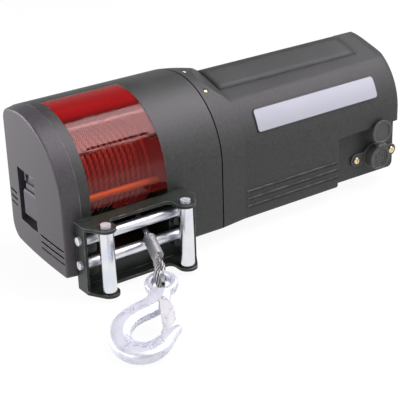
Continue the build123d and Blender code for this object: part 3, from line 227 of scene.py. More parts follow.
def ridged_layer(name, low, high, rope):
    """Ring of rope in a box, whose radius follows the round tops of turns that lie side by side.

    A top is a half circle of the rope's radius over the distance from the middle of its turn.
    """
    radius = rope.diameter / 2
    top = (high.z - low.z) / 2
    along = np.linspace(low.x, high.x, LOWER_TURNS * LOWER_STEPS + 1)
    turn = circle(120)
    away = (along[:, None] - low.x - rope.pitch * turn / FULL_TURN) % rope.pitch - rope.pitch / 2
    ridges = top - radius + np.sqrt(np.clip(radius**2 - away**2, 0, None))
    bore = np.full((2, len(turn)), top - 2 * rope.diameter)
    reach = np.concatenate((ridges, bore))
    along = np.concatenate((along, (high.x, low.x)))
    line = np.broadcast_to(along[:, None], reach.shape)
    points = np.stack((line, reach * np.cos(turn), drum_axis[2] + reach * np.sin(turn)), -1)
    quads, cells = grid_quads(len(points), len(turn), ring_rows=True, ring_columns=True)
    onward = cells[..., 1] * top * FULL_TURN / len(turn) / rope.lay
    places = np.stack((cells[..., 0] / LOWER_STEPS, onward), -1).reshape(-1, 2)
    return fill_mesh(name, points.reshape(-1, 3), quads.tolist(), places)


def through_rings(name, rings):
    """Closed piece with flat ends through rings of as many points each."""
    return fill_mesh(name, np.reshape(rings, (-1, 3)), tube_faces(len(rings), len(rings[0])), smooth=False)


def turned(name, profile, places):
    """Round pieces: a profile of radius and depth in millimetres, spun about a level axis at each place."""
    turn = circle(40)
    radius, depth = np.array(profile).T[:, :, None] * MM
    flat = np.broadcast_to(depth, (len(profile), len(turn)))
    local = np.stack((radius * np.cos(turn), flat, radius * np.sin(turn)), -1).reshape(-1, 3)
    points = np.concatenate([local + place for place in places])
    faces = []
    for index in range(len(places)):
        faces += tube_faces(len(profile), len(turn), index * len(local))
    return fill_mesh(name, points, faces, smooth=False)


def screw_heads(name, seats, radius, height, length):
    """Domed heads with a cross recess, each on a short shank.

    The height over the seat is a dome less the recess, which is a step with sloping sides inside a cross. A
    seat is a place and the way that its screw faces.
    """
    turn = circle(72)
    spread = np.concatenate((np.linspace(0.02, 0.96, 30), (0.995, 1.0, 1.0)))
    dome = height * (0.55 + 0.45 * np.sqrt(np.clip(1 - spread**2, 0, 1)))
    dome[-2:] = (height * 0.45, 0.0)
    narrow = spread[:, None] * np.minimum(np.abs(np.cos(turn)), np.abs(np.sin(turn)))
    arm = np.clip((0.17 - narrow) / 0.05, 0, 1) * np.clip((0.62 - spread[:, None]) / 0.08, 0, 1)
    head = dome[:, None] - height * 0.5 * arm
    shank = np.broadcast_to(np.array(((0.0,), (-length,), (-length,))), (3, len(turn)))
    rise = np.concatenate((head, shank))
    reach = np.concatenate((spread, (0.55, 0.55, 0.02)))[:, None] * radius
    points, faces = [], []
    for index, (place, axis) in enumerate(seats):
        first = unit(np.cross(axis, (0.31, 0.93, 0.17)))
        second = np.cross(axis, first)
        beside = (reach * np.cos(turn))[..., None] * first + (reach * np.sin(turn))[..., None] * second
        points.append((beside + rise[..., None] * np.array(axis) + np.array(place)).reshape(-1, 3))
        faces += tube_faces(len(rise), len(turn), index * rise.size)
    return fill_mesh(name, np.concatenate(points), faces)


def superellipse(turn, power):
    """Cosine and sine of angles, each to two over the power with its sign kept: a power of 2 is a circle."""
    return [np.sign(wave) * np.abs(wave) ** (2 / power) for wave in (np.cos(turn), np.sin(turn))]


def hook_shank(hook, stations, turn):
    """Section carried along the hook's middle line, drawn in to the point as the end of a ball is.

    The section is a superellipse, rounded on its outer half and squarer on its inner half, whose thickness
    is taken down along a bevel towards the throat. A station is along, across, half width and half thickness.
    """
    line = spline_through(np.array(stations) * MM, 160)
    along = run_along(line[:, :2])
    point = 4 * MM
    taper = np.sqrt(1 - np.clip((along - along[-1] + point) / point, 0, 0.999) ** 2)
    wide, deep = superellipse(turn, np.where(np.cos(turn) > 0, hook.squareness, hook.roundness))
    bevelled = 1 - hook.bevel * np.clip((wide - 0.45) / 0.55, 0, 1)
    deep = np.sign(deep) * np.minimum(np.abs(deep), bevelled)
    tangent = unit(np.gradient(line[:, :2], axis=0))
    cross = np.stack((-tangent[:, 1], tangent[:, 0]), -1)
    flat = line[:, None, :2] + cross[:, None] * (line[:, 2] * taper)[:, None, None] * wide[None, :, None]
    rise = (line[:, 3] * taper)[:, None] * deep[None]
    return np.concatenate((flat, rise[..., None]), -1)


def hook_eye(hook, turn):
    """Rounded section carried round a circle."""
    around = circle(120)[:, None]
    wide, deep = superellipse(turn, hook.roundness)
    reach = hook.eye_middle + hook.eye_half_bar * wide
    rise = np.broadcast_to(hook.eye_half_depth * deep, (len(around), len(turn)))
    return np.stack((np.cos(around) * reach, np.sin(around) * reach, rise), -1)


def route_line(points):
    """Points along the smooth line that a rope takes by its route, read from a NURBS curve."""
    curve = bpy.data.curves.new("route", "CURVE")
    curve.dimensions = "3D"
    curve.resolution_u = 24
    spline = curve.splines.new("NURBS")
    spline.points.add(len(points) - 1)
    for place, point in zip(spline.points, points):
        place.co = (*point, 1.0)
    spline.order_u = 3
    spline.use_endpoint_u = True
    line = show("route", curve)
    mesh = settled_mesh(line)
    found = np.zeros(len(mesh.vertices) * 3)
    mesh.vertices.foreach_get("co", found)
    bpy.data.meshes.remove(mesh)
    bpy.data.objects.remove(line)
    bpy.data.curves.remove(curve)
    return found.reshape(-1, 3)


def evenly(path, step):
    """The same line with points about one step apart."""
    along = run_along(path)
    at = np.linspace(0, along[-1], int(along[-1] / step) + 2)
    return np.stack([np.interp(at, along, path[:, axis]) for axis in range(3)], -1)


def set_place(thing, place, back, top):
    """Put a lamp or camera at a place, with its back and its top in given directions."""
    right = unit(np.cross(top, back))
    top = np.cross(back, right)
    matrix = np.eye(4)
    matrix[:3] = np.stack((right, top, back, place), -1)
    thing.matrix_world = matrix.T.tolist()


def settle(piece, body, *stands_for, slot=None, finish=None):
    """Put a piece on its body, in place of the nodes it stands for, with a finish. The slot is not used."""
    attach(piece, body)
    if stands_for:
        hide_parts(*stands_for)
    if finish:
        coat(piece, finish)
    return piece


def coat(piece, material):
    """Give a piece one material."""
    piece.data.materials.clear()
    piece.data.materials.append(material)


def coat_nodes(material, *names):
    """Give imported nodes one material."""
    for name in names:
        coat(nodes[name], material)


# Materials written as sums


class Wire:
    """A value in a material. Arithmetic on it adds Math nodes."""

    def __init__(self, finish, socket):
        self.finish = finish
        self.socket = socket

    def reckon(self, operation, first, second=0.0):
        """Value of one Math node."""
        return self.finish.node("ShaderNodeMath", {"operation": operation}, {0: first, 1: second})

    def __add__(self, other):
        return self.reckon("ADD", self, other)

    __radd__ = __add__

    def __sub__(self, other):
        return self.reckon("SUBTRACT", self, other)

    def __rsub__(self, other):
        return self.reckon("SUBTRACT", other, self)

    def __mul__(self, other):
        return self.reckon("MULTIPLY", self, other)

    __rmul__ = __mul__

    def __truediv__(self, other):
        return self.reckon("DIVIDE", self, other)

    def __pow__(self, other):
        return self.reckon("POWER", self, other)

    def sine(self):
        """Sine of the value."""
        return self.reckon("SINE", self)

    def fraction(self):
        """What is left over the whole number below the value."""
        return self.reckon("FRACT", self)

    def at_most(self, other):
        """The lesser of two values."""
        return self.reckon("MINIMUM", self, other)

    def at_least(self, other):
        """The greater of two values."""
        return self.reckon("MAXIMUM", self, other)

    def between(self, low, high):
        """0 at low, 1 at high and a smooth rise between them."""
        return self.finish.node(
            "ShaderNodeMapRange",
            {"interpolation_type": "SMOOTHSTEP"},
            {"Value": self, "From Min": low, "From Max": high},
        )


class Finish:
    """A material, or a world that is handed in, built up node by node."""

    def __init__(self, name, world=None):
        self.material = world or bpy.data.materials.new(name)
        self.material.use_nodes = True
        self.tree = self.material.node_tree
        self.tree.nodes.clear()

    def node(self, kind, settings=None, inputs=None, out=0):
        """Add a node, set it up, fill its sockets and give back one output."""
        made = self.tree.nodes.new(kind)
        for key, value in (settings or {}).items():
            setattr(made, key, value)
        for key, value in (inputs or {}).items():
            if isinstance(value, Wire):
                self.tree.links.new(value.socket, made.inputs[key])
            else:
                made.inputs[key].default_value = value
        return Wire(self, made.outputs[out]) if made.outputs else None

    def place(self):
        """Place on the object, in metres."""
        return self.node("ShaderNodeTexCoord", out="Object")

    def lay(self):
        """Place on the piece's own UV map."""
        return self.node("ShaderNodeTexCoord", out="UV")

    def stretch(self, vector, scale):
        """Place, scaled along each axis."""
        return self.node("ShaderNodeMapping", None, {"Vector": vector, "Scale": scale})

    def noise(self, vector, scale, detail=2.0, roughness=0.5):
        """Soft random value of 0 to 1."""
        inputs = {"Vector": vector, "Scale": scale, "Detail": detail, "Roughness": roughness}
        return self.node("ShaderNodeTexNoise", None, inputs)

    def cells(self, vector, scale):
        """Distance to the nearest of many scattered points."""
        return self.node("ShaderNodeTexVoronoi", None, {"Vector": vector, "Scale": scale}, "Distance")

    def split(self, vector):
        """The three parts of a vector."""
        parts = self.node("ShaderNodeSeparateXYZ", None, {0: vector})
        return [Wire(self, socket) for socket in parts.socket.node.outputs]

    def blend(self, factor, first, second):
        """Colour that goes from the first to the second."""
        return self.node("ShaderNodeMix", {"data_type": "RGBA"}, {0: factor, 6: first, 7: second}, 2)

    def soft_edge(self, radius):
        """Normal that is rounded over sharp edges."""
        return self.node("ShaderNodeBevel", {"samples": 6}, {"Radius": radius})

    def edge_mask(self, radius, gain):
        """1 on sharp edges and 0 on open faces."""
        sides = {0: self.node("ShaderNodeNewGeometry", out="Normal"), 1: self.soft_edge(radius)}
        same = self.node("ShaderNodeVectorMath", {"operation": "DOT_PRODUCT"}, sides, "Value")
        return ((1.0 - same) * gain).at_most(1.0)

    def from_drum(self, place):
        """Distance from the drum's axis."""
        _, across, height = self.split(place)
        rise = height - float(drum_axis[2])
        return (across * across + rise * rise) ** 0.5

    def background_rays(self):
        """1 for what the camera, mirrors and clear pieces see, 0 for what lights the rest."""
        names = ("Is Camera Ray", "Is Glossy Ray", "Is Transmission Ray")
        camera, glossy, clear = (self.node("ShaderNodeLightPath", out=name) for name in names)
        return (camera + glossy + clear).at_most(1.0)

    def facing_up(self):
        """1 on faces that look up, 0 on walls and below."""
        normal = self.node("ShaderNodeNewGeometry", out="Normal")
        return self.split(normal)[2].between(0.1, 1.0)

    def bump(self, height, distance, normal=None):
        """Normal of a surface with that relief."""
        inputs = {"Height": height, "Distance": distance, "Strength": 1.0}
        if normal is not None:
            inputs["Normal"] = normal
        return self.node("ShaderNodeBump", None, inputs)

    def shader(self, **sockets):
        """Principled shader, with spaces in socket names written as underscores."""
        inputs = {key.replace("_", " "): value for key, value in sockets.items()}
        return self.node("ShaderNodeBsdfPrincipled", None, inputs)

    def over(self, share, under, top):
        """Shader with a share of a second one over it."""
        return self.node("ShaderNodeMixShader", None, {0: share, 1: under, 2: top})

    def done(self, surface):
        """Join the shader to the material and give the material back."""
        self.node("ShaderNodeOutputMaterial", None, {"Surface": surface})
        return self.material


def paint(colour):
    """Colour with full opacity."""
    return (*colour[:3], 1.0)


def lighter(colour, share):
    """Colour part of the way to white."""
    return paint([part + (1 - part) * share for part in colour[:3]])


def darker(colour, share):
    """Colour with a share of its light, or with a share for each of its three parts."""
    return paint(np.array(colour[:3]) * share)


def coated_casting(name, colour, roughness, grain, depth, shine, wear_and_edge_highlight, seams=(), crown=None, lines=()):
    """Stippled black coat: grain in relief, mottled tone, dust on top, edges paler for wear and a painted
    highlight, and painted shade at seams.

    A seam is a place along the drum, in metres, where two pieces meet; within about a millimetre of it a
    painted shade darkens the coat. A crown is the place along the drum and the height, in millimetres, past
    which edges are broad and soft. A group of lines is painted shade where the height over its lowest edge,
    in steps, has a fraction less than a line's share: shade in grooves and a painted shadow under ribs.
    """
    finish = Finish(name)
    place = finish.place()
    fine = finish.noise(place, 1 / grain, 3.0, 0.6)
    mottle = finish.noise(place, 0.28 / grain, 4.0, 0.65)
    broad = finish.noise(place, 11.0, 3.0)
    specks = finish.cells(place, 0.6 / grain).between(0.05, 0.35)
    # Edges are made paler for wear and as a painted highlight along them.
    edge = finish.edge_mask(0.0011, 7.0) * finish.noise(place, 70.0, 2.0).between(0.35, 0.65)
    dust = finish.facing_up() * broad.between(0.4, 0.75) * 0.35
    tone = finish.blend(mottle.between(0.3, 0.7), darker(colour, 0.7), lighter(colour, 0.012))
    tone = finish.blend(dust, tone, lighter(colour, 0.04))
    tone = finish.blend(edge * 0.5, tone, lighter(colour, wear_and_edge_highlight))
    rough = roughness + (fine - 0.5) * 0.14 + (mottle - 0.5) * 0.25 + (broad - 0.5) * 0.1 - edge * 0.08
    along, across, height = finish.split(place)
    rounded = finish.soft_edge(0.0008)
    if crown:
        past, over = (edge_start * MM for edge_start in crown)
        fade = 8 * MM
        high = along.between(past, past + fade) * height.between(over, over + fade)
        normals = {0: high, 4: rounded, 5: finish.soft_edge(0.014)}
        rounded = finish.node("ShaderNodeMix", {"data_type": "VECTOR"}, normals, 1)
    normal = finish.bump(fine * 0.5 + mottle * 1.2 + specks * 0.3, depth, rounded)
    gloss = {"Specular_IOR_Level": shine, "Specular_Tint": (1.0, 0.95, 1.0, 1.0)}
    surface = finish.shader(Base_Color=tone, Roughness=rough, Normal=normal, **gloss)
    shade = finish.shader(Base_Color=(0.002, 0.003, 0.002, 1.0), Roughness=1.0, Specular_IOR_Level=0.0)
    # Painted shade: a black matt shader mixed in within about a millimetre of each seam, for the shade in the
    # joint.
    for seam in seams:
        away = along - seam
        gap = 1.0 - ((away * away) ** 0.5).between(0.0006, 0.0013)
        surface = finish.over(gap, surface, shade)
    # Painted shade in the end cover's grooves and a painted shadow under the ribs: the black matt shader
    # mixed into bands.
    for axis, first, last, lowest, thick, step in lines:
        row = (height - lowest * MM) / (step * MM)
        share = thick / step
        inside = 1.0 - row.fraction().between(share - 0.03, share + 0.03)
        inside *= row.between(-0.01, 0.01)
        inside *= 1.0 - row.between(LINES_IN_GROUP - 0.5, LINES_IN_GROUP - 0.4)
        run = (along, across)[axis]
        inside *= run.between(first * MM, (first + 1.0) * MM)
        inside *= 1.0 - run.between((last - 1.0) * MM, last * MM)
        surface = finish.over(inside, surface, shade)
    return finish.done(surface)


def plated_steel(name, colour, roughness, lines, tint=(0.9, 0.93, 1.0), metal=1.0):
    """Bright plate on steel: cloudy tint, fine drawn lines and small scuffs."""
    finish = Finish(name)
    place = finish.place()
    drawn = finish.noise(finish.stretch(place, lines), 1.0, 3.0, 0.6)
    cloud = finish.noise(place, 45.0, 3.0)
    scuff = finish.noise(place, 260.0, 4.0, 0.7).between(0.58, 0.75)
    tone = finish.blend(cloud.between(0.35, 0.7), paint(colour), darker(colour, tint))
    tone = finish.blend(scuff * 0.35, tone, darker(colour, 0.72))
    rough = roughness + (drawn - 0.5) * 0.12 + scuff * 0.12
    normal = finish.bump(drawn, 0.00003, finish.soft_edge(0.0006))
    return finish.done(finish.shader(Base_Color=tone, Metallic=metal, Roughness=rough, Normal=normal))


def turned_steel(name, colour, roughness):
    """Machined metal: rings about the drum's axis and lines along it, with an oily cloud."""
    finish = Finish(name)
    place = finish.place()
    along, _, _ = finish.split(place)
    ring = finish.from_drum(place)
    row = finish.node("ShaderNodeCombineXYZ", None, {0: along * 900.0, 1: ring * 2200.0, 2: 0.0})
    cut = finish.noise(row, 1.0, 2.0, 0.6)
    cloud = finish.noise(place, 60.0, 3.0)
    tone = finish.blend(cloud, paint(colour), darker(colour, 0.7))
    rough = roughness + (cut - 0.5) * 0.2 + (cloud - 0.5) * 0.15
    normal = finish.bump(cut, 0.00004, finish.soft_edge(0.0004))
    return finish.done(finish.shader(Base_Color=tone, Metallic=1.0, Roughness=rough, Normal=normal))


def stranded_wire(name, colour, grime_and_shade, crest=None):
    """Wires laid round each strand: ridges that cross it at a slant, bright outside, and darker between
    strands and wires with grime and painted shade.

    With a crest, the low and high radius of a layer on the drum, painted shade darkens the grooves between
    turns.
    """
    finish = Finish(name)
    around, along, _ = finish.split(finish.lay())
    slant = (around * WIRES - along * WIRES) * FULL_TURN
    ridge = slant.sine() * 0.5 + 0.5
    outward = (around * FULL_TURN + FULL_TURN / 4).sine()
    hollow = 1.0 - (outward.between(-0.3, 0.75) if crest else outward.between(0.1, 0.95))
    place = finish.place()
    cloud = finish.noise(place, 120.0, 3.0)
    strands = 0.35 if crest else 0.85
    # Grime and painted shade: darker between strands, between wires and, with a crest, between turns.
    dark = hollow * strands + (1.0 - ridge) * 0.35 + (cloud - 0.5) * 0.4
    if crest:
        dark += 1.0 - finish.from_drum(place).between(*crest)
    dark = dark.at_most(1.0).at_least(0.0)
    tone = finish.blend(dark, paint(colour), paint(grime_and_shade))
    rough = 0.26 + dark * 0.35
    normal = finish.bump(ridge, 0.00022)
    return finish.done(finish.shader(Base_Color=tone, Metallic=0.95, Roughness=rough, Normal=normal))


def clear_guard(name, colour, top_tint, front_tint, top_dye, front_dye):
    """Clear coloured sheet: gloss over a see-through tint, deepest on its top, with dyed haze and hairlines.

    The gloss is a small share seen square on, and rises with the fifth power of the slant.
    """
    finish = Finish(name)
    place = finish.place()
    haze = finish.noise(place, 24.0, 3.0)
    hairs = finish.noise(finish.stretch(place, LEVEL_LINES), 1.0, 2.0).between(0.6, 0.72)
    tone = finish.blend(haze, paint(colour), darker(colour, 0.8))
    dye = finish.shader(Base_Color=tone, Roughness=0.6, Specular_IOR_Level=0.0)
    front = (finish.split(place)[1] * -1.0).between(0.024, 0.036)
    top_sheet = finish.node("ShaderNodeBsdfTransparent", None, {"Color": paint(top_tint)})
    front_sheet = finish.node("ShaderNodeBsdfTransparent", None, {"Color": paint(front_tint)})
    clear = finish.over(front, top_sheet, front_sheet)
    dyed = top_dye + front * (front_dye - top_dye) + haze * 0.05 + hairs * 0.05
    sheet = finish.over(dyed, clear, dye)
    normal = finish.soft_edge(0.0007)
    gloss = finish.shader(Base_Color=WHITE, Metallic=1.0, Roughness=0.07 + hairs * 0.1, Normal=normal)
    slant = finish.node("ShaderNodeLayerWeight", None, {"Blend": 0.5, "Normal": normal}, "Facing")
    return finish.done(finish.over(slant**5.0 * 0.78 + 0.025, sheet, gloss))


def brushed_plate(name, colour, low, high, corner):
    """Bare metal plate brushed along its length, with a line of painted shade round its edge.

    The line lies where the distance in from a rectangle with round corners is under about a millimetre.
    """
    finish = Finish(name)
    place = finish.place()
    brush = finish.noise(finish.stretch(place, (35.0, 2600.0, 2600.0)), 1.0, 3.0, 0.65)
    cloud = finish.noise(place, 18.0, 2.0)
    along, _, height = finish.split(place)
    # Painted shade along a thin line just in from the plate's edge.
    beside = (corner - (along - low.x).at_most(high.x - along)).at_least(0.0)
    above = (corner - (height - low.z).at_most(high.z - height)).at_least(0.0)
    painted_rim_shade = ((beside * beside + above * above) ** 0.5).between(corner - 0.0013, corner - 0.0008)
    tone = finish.blend(cloud, paint(colour), darker(colour, 0.93))
    tone = finish.blend(painted_rim_shade, tone, darker(colour, 0.12))
    rough = 0.5 + (brush - 0.5) * 0.25
    normal = finish.bump(brush, 0.00003, finish.soft_edge(0.0006))
    return finish.done(finish.shader(Base_Color=tone, Metallic=0.15, Roughness=rough, Normal=normal))


def forged_plate(name, colour, roughness):
    """Satin plate on a forging: orange-peel relief, pits and mottling in patches and a cloudy tint."""
    finish = Finish(name)
    place = finish.place()
    peel = finish.noise(place, 700.0, 3.0, 0.6)
    patch = finish.noise(place, 38.0, 2.0).between(0.38, 0.58)
    mottle = finish.noise(place, 330.0, 3.0, 0.7).between(0.45, 0.62) * patch
    pits = finish.cells(place, 420.0).between(0.5, 0.15) * patch
    cloud = finish.noise(place, 30.0, 3.0)
    tone = finish.blend(cloud.between(0.35, 0.7), paint(colour), darker(colour, 0.88))
    shade = darker(colour, (0.34, 0.35, 0.45))
    tone = finish.blend((pits * 0.6 + mottle * 0.5).at_most(1.0), tone, shade)
    rough = roughness + (peel - 0.5) * 0.2 + pits * 0.15
    normal = finish.bump(peel - pits * 0.6, 0.00012)
    return finish.done(finish.shader(Base_Color=tone, Metallic=0.5, Roughness=rough, Normal=normal))


def moulding(name, colour, roughness, grain, depth, wear_and_edge_highlight=0.05):
    """Moulded plastic or rubber: matt grain, faint flow marks, and slightly shiny edges made paler for wear
    and a painted highlight.
    """
    finish = Finish(name)
    place = finish.place()
    fine = finish.noise(place, 1 / grain, 2.0, 0.6)
    flow = finish.noise(place, 30.0, 4.0, 0.6)
    # Edges are made paler for wear and as a painted highlight along them.
    edge = finish.edge_mask(0.0008, 6.0)
    tone = finish.blend(flow, paint(colour), lighter(colour, 0.03))
    tone = finish.blend(edge, tone, lighter(colour, wear_and_edge_highlight))
    rough = roughness + (fine - 0.5) * 0.15 - edge * 0.12
    normal = finish.bump(fine, depth, finish.soft_edge(0.0006))
    return finish.done(finish.shader(Base_Color=tone, Roughness=rough, Normal=normal))


# Sizes and colours that a user would change


class RopeSizes(bpy.types.PropertyGroup):
    """Rope on the drum and out to the hook."""

    diameter: FloatProperty(
        name="Diameter", description="Outside diameter of the rope",
        default=0.0075, unit="LENGTH", precision=4,
    )
    pitch: FloatProperty(
        name="Pitch", description="Distance from one turn to the next",
        default=0.008, unit="LENGTH", precision=4,
    )
    lay: FloatProperty(
        name="Lay", description="Length in which a strand goes once round",
        default=0.046, unit="LENGTH", precision=4,
    )
    half_turns: IntProperty(
        name="Half turns", description="Half turns in the outer layer",
        default=21, min=2,
    )
    climb: FloatProperty(
        name="Climb", description="Half turns in which the rope climbs from the layer below",
        default=0.4, min=0.05,
    )


class HookSizes(bpy.types.PropertyGroup):
    """Forged hook at the rope's end."""

    eye_middle: FloatProperty(
        name="Eye radius", description="Radius of the eye to the middle of its bar",
        default=0.01575, unit="LENGTH", precision=5,
    )
    eye_half_bar: FloatProperty(
        name="Eye bar", description="Half the width of the eye's bar",
        default=0.00475, unit="LENGTH", precision=5,
    )
    eye_half_depth: FloatProperty(
        name="Eye depth", description="Half the thickness of the eye",
        default=0.006, unit="LENGTH", precision=4,
    )
    heading: FloatProperty(
        name="Heading", description="Way the hook points on the floor, in degrees",
        default=222.8,
    )
    dip: FloatProperty(
        name="Dip", description="Slope of the hook down to the floor, in degrees",
        default=12.0,
    )
    squareness: FloatProperty(
        name="Squareness", description="Power of the section: 2 is an ellipse, more is squarer",
        default=5.5, min=2.0,
    )
    roundness: FloatProperty(
        name="Roundness", description="Power of the section on the hook's outer side and at its eye",
        default=3.2, min=2.0,
    )
    bevel: FloatProperty(
        name="Bevel", description="Share of the thickness taken off along the throat",
        default=0.5, min=0.0, max=0.9,
    )
    grain: FloatProperty(
        name="Mesh grain", description="Size of the faces of the forged skin",
        default=0.0009, unit="LENGTH", precision=5,
    )


class FinishColours(bpy.types.PropertyGroup):
    """Colours of the visible finishes."""

    casting: FloatVectorProperty(
        name="Castings", description="Coat of the two castings",
        default=(0.0095, 0.0140, 0.0100), subtype="COLOR",
    )
    shell: FloatVectorProperty(
        name="Motor cover", description="Coat of the motor cover",
        default=(0.0120, 0.0155, 0.0125), subtype="COLOR",
    )
    # The end cover's coat is lighter than the castings' coat partly as painted light, for the light on the
    # clutch end.
    end: FloatVectorProperty(
        name="End cover", description="Coat of the end cover",
        default=(0.029, 0.0265, 0.0315), subtype="COLOR",
    )
    sheet: FloatVectorProperty(
        name="Sheet steel", description="Coat of the fairlead's frame",
        default=(0.008, 0.0150, 0.009), subtype="COLOR",
    )
    guard: FloatVectorProperty(
        name="Guard", description="Dye in the drum guard",
        default=(0.50, 0.008, 0.012), subtype="COLOR",
    )
    top_tint: FloatVectorProperty(
        name="Top tint", description="Light that one face of the guard's top lets through",
        default=(0.97, 0.42, 0.38), subtype="COLOR",
    )
    front_tint: FloatVectorProperty(
        name="Front tint", description="Light that one face of the guard's front lets through",
        default=(0.96, 0.54, 0.46), subtype="COLOR",
    )
    zinc: FloatVectorProperty(
        name="Bright plate", description="Rollers, pins and fittings",
        default=(0.78, 0.79, 0.81), subtype="COLOR",
    )
    forging: FloatVectorProperty(
        name="Hook", description="Satin plate on the hook",
        default=(0.75, 0.78, 0.85), subtype="COLOR",
    )
    wire: FloatVectorProperty(
        name="Rope", description="Rope wires",
        default=(0.56, 0.56, 0.57), subtype="COLOR",
    )
    plate: FloatVectorProperty(
        name="Plate", description="Bare plate on the motor cover",
        default=(0.34, 0.35, 0.395), subtype="COLOR",
    )
    lever: FloatVectorProperty(
        name="Lever", description="Clutch lever",
        default=(0.062, 0.056, 0.070), subtype="COLOR",
    )
    rubber: FloatVectorProperty(
        name="Rubber", description="Handset socket and its cap",
        default=(0.032, 0.033, 0.030), subtype="COLOR",
    )
    tie_bar: FloatVectorProperty(
        name="Tie bars", description="Passivated bars across the drum bay",
        default=(0.50, 0.66, 0.10), subtype="COLOR",
    )
    brass: FloatVectorProperty(
        name="Brass", description="Brass screws",
        default=(0.74, 0.66, 0.44), subtype="COLOR",
    )


class StageSizes(bpy.types.PropertyGroup):
    """Camera, floor and lamps."""

    eye: FloatVectorProperty(
        name="Camera", description="Place of the camera",
        default=(-0.7603, -1.3242, 0.7546), subtype="TRANSLATION",
    )
    heading: FloatProperty(
        name="Heading", description="Camera's heading from straight ahead, in degrees",
        default=34.0,
    )
    drop: FloatProperty(
        name="Drop", description="Camera's slope down, in degrees",
        default=24.6,
    )
    roll: FloatProperty(
        name="Roll", description="Camera's turn about its line of sight, in degrees",
        default=1.9,
    )
    lens: FloatProperty(
        name="Lens", description="Focal length in millimetres",
        default=112.5,
    )
    floor: FloatProperty(
        name="Floor", description="Half the width of the floor",
        default=4.0, unit="LENGTH",
    )
    tint: FloatVectorProperty(
        name="Lamp tint", description="Colour of the lamps' light",
        default=(1.0, 0.95, 1.0), subtype="COLOR",
    )
    key: FloatProperty(
        name="Key lamp", description="Power of the large lamp overhead",
        default=42.0, unit="POWER",
    )
    front: FloatProperty(
        name="Front lamp", description="Power of the lamp in front",
        default=5.0, unit="POWER",
    )
    strip: FloatProperty(
        name="Strip lamp", description="Power of the narrow lamp overhead",
        default=2.6, unit="POWER",
    )
    fill: FloatProperty(
        name="Fill lamp", description="Power of the lamp at the clutch end",
        default=8.0, unit="POWER",
    )
    side: FloatProperty(
        name="Side lamp", description="Power of the lamp behind the clutch end",
        default=20.0, unit="POWER",
    )
    sky: FloatProperty(
        name="Sky", description="Light from over the horizon, which is white",
        default=0.42, min=0.0,
    )
    zenith: FloatProperty(
        name="Zenith", description="Light from straight above",
        default=0.2, min=0.0,
    )


# Pieces


class WINCH_OT_housings(bpy.types.Operator):
    """Coat the castings, the covers and the fairlead's frame"""

    bl_idname = "winch.housings"
    bl_label = "Housings"

    def execute(self, context):
        colours = context.scene.winch_colours
        # Painted shade runs along the joint of the centre housing and the motor cover.
        seams = (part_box("motor_cover")[0].x,)
        casting = coated_casting(
            "black coat on castings", colours.casting, roughness=0.54, grain=0.0011, depth=0.00009,
            shine=0.6, wear_and_edge_highlight=0.2, seams=seams,
        )
        shell = coated_casting(
            "black cover", colours.shell, roughness=0.56, grain=0.0009, depth=0.00008,
            shine=0.55, wear_and_edge_highlight=0.25, seams=seams, crown=SOFT_CROWN, lines=RIB_FOOT_SHADOW,
        )
        # The end cover's lighter coat is partly painted light on the clutch end.
        end = coated_casting(
            "black end cover", colours.end, roughness=0.5, grain=0.0009, depth=0.00008,
            shine=0.8, wear_and_edge_highlight=0.3, lines=END_GROOVE_SHADE,
        )
        # The fairlead frame's edges are made much paler, mostly as a painted highlight on its lip.
        sheet = coated_casting(
            "black sheet steel", colours.sheet, roughness=0.40, grain=0.0016, depth=0.00005,
            shine=0.4, wear_and_edge_highlight=0.6,
        )
        coat_nodes(casting, "clutch_housing", "centre_housing", "rear_shroud")
        coat_nodes(casting, "gearbox_plate", "motor_end_bell")
        coat_nodes(shell, "motor_cover")
        coat_nodes(end, "clutch_cover")
        coat_nodes(sheet, "fairlead_frame", "fairlead_bolts", "motor_case")

        # Raised panel on the cover's flat: a section with sloping edges carried along it, low at both ends.
        tilt = math.radians(PANEL_TILT)
        out = np.array((0.0, math.cos(tilt), math.sin(tilt)))
        back = np.array((0.0, math.sin(tilt), -math.cos(tilt)))
        across = np.array((-16.5, -16.5, -12.0, 31.0, 36.0, 36.0)) * MM
        rise = np.array((-1.4, 0.0, 1.6, 1.6, 0.0, -1.4)) * MM
        along = np.array((0.0, 3.0, 239.0, 243.0)) * MM
        share = np.array((0.0, 1.0, 1.0, 0.0))
        lift = np.where(rise > 0, rise * share[:, None], rise)
        section = back * across[:, None] + lift[..., None] * out
        points = np.array(PANEL_FOOT) * MM + section + along[:, None, None] * np.array((1.0, 0.0, 0.0))
        panel = through_rings("cover_top_panel", points)
        settle(panel, "frame", slot="black_shell", finish=shell)
        return {"FINISHED"}


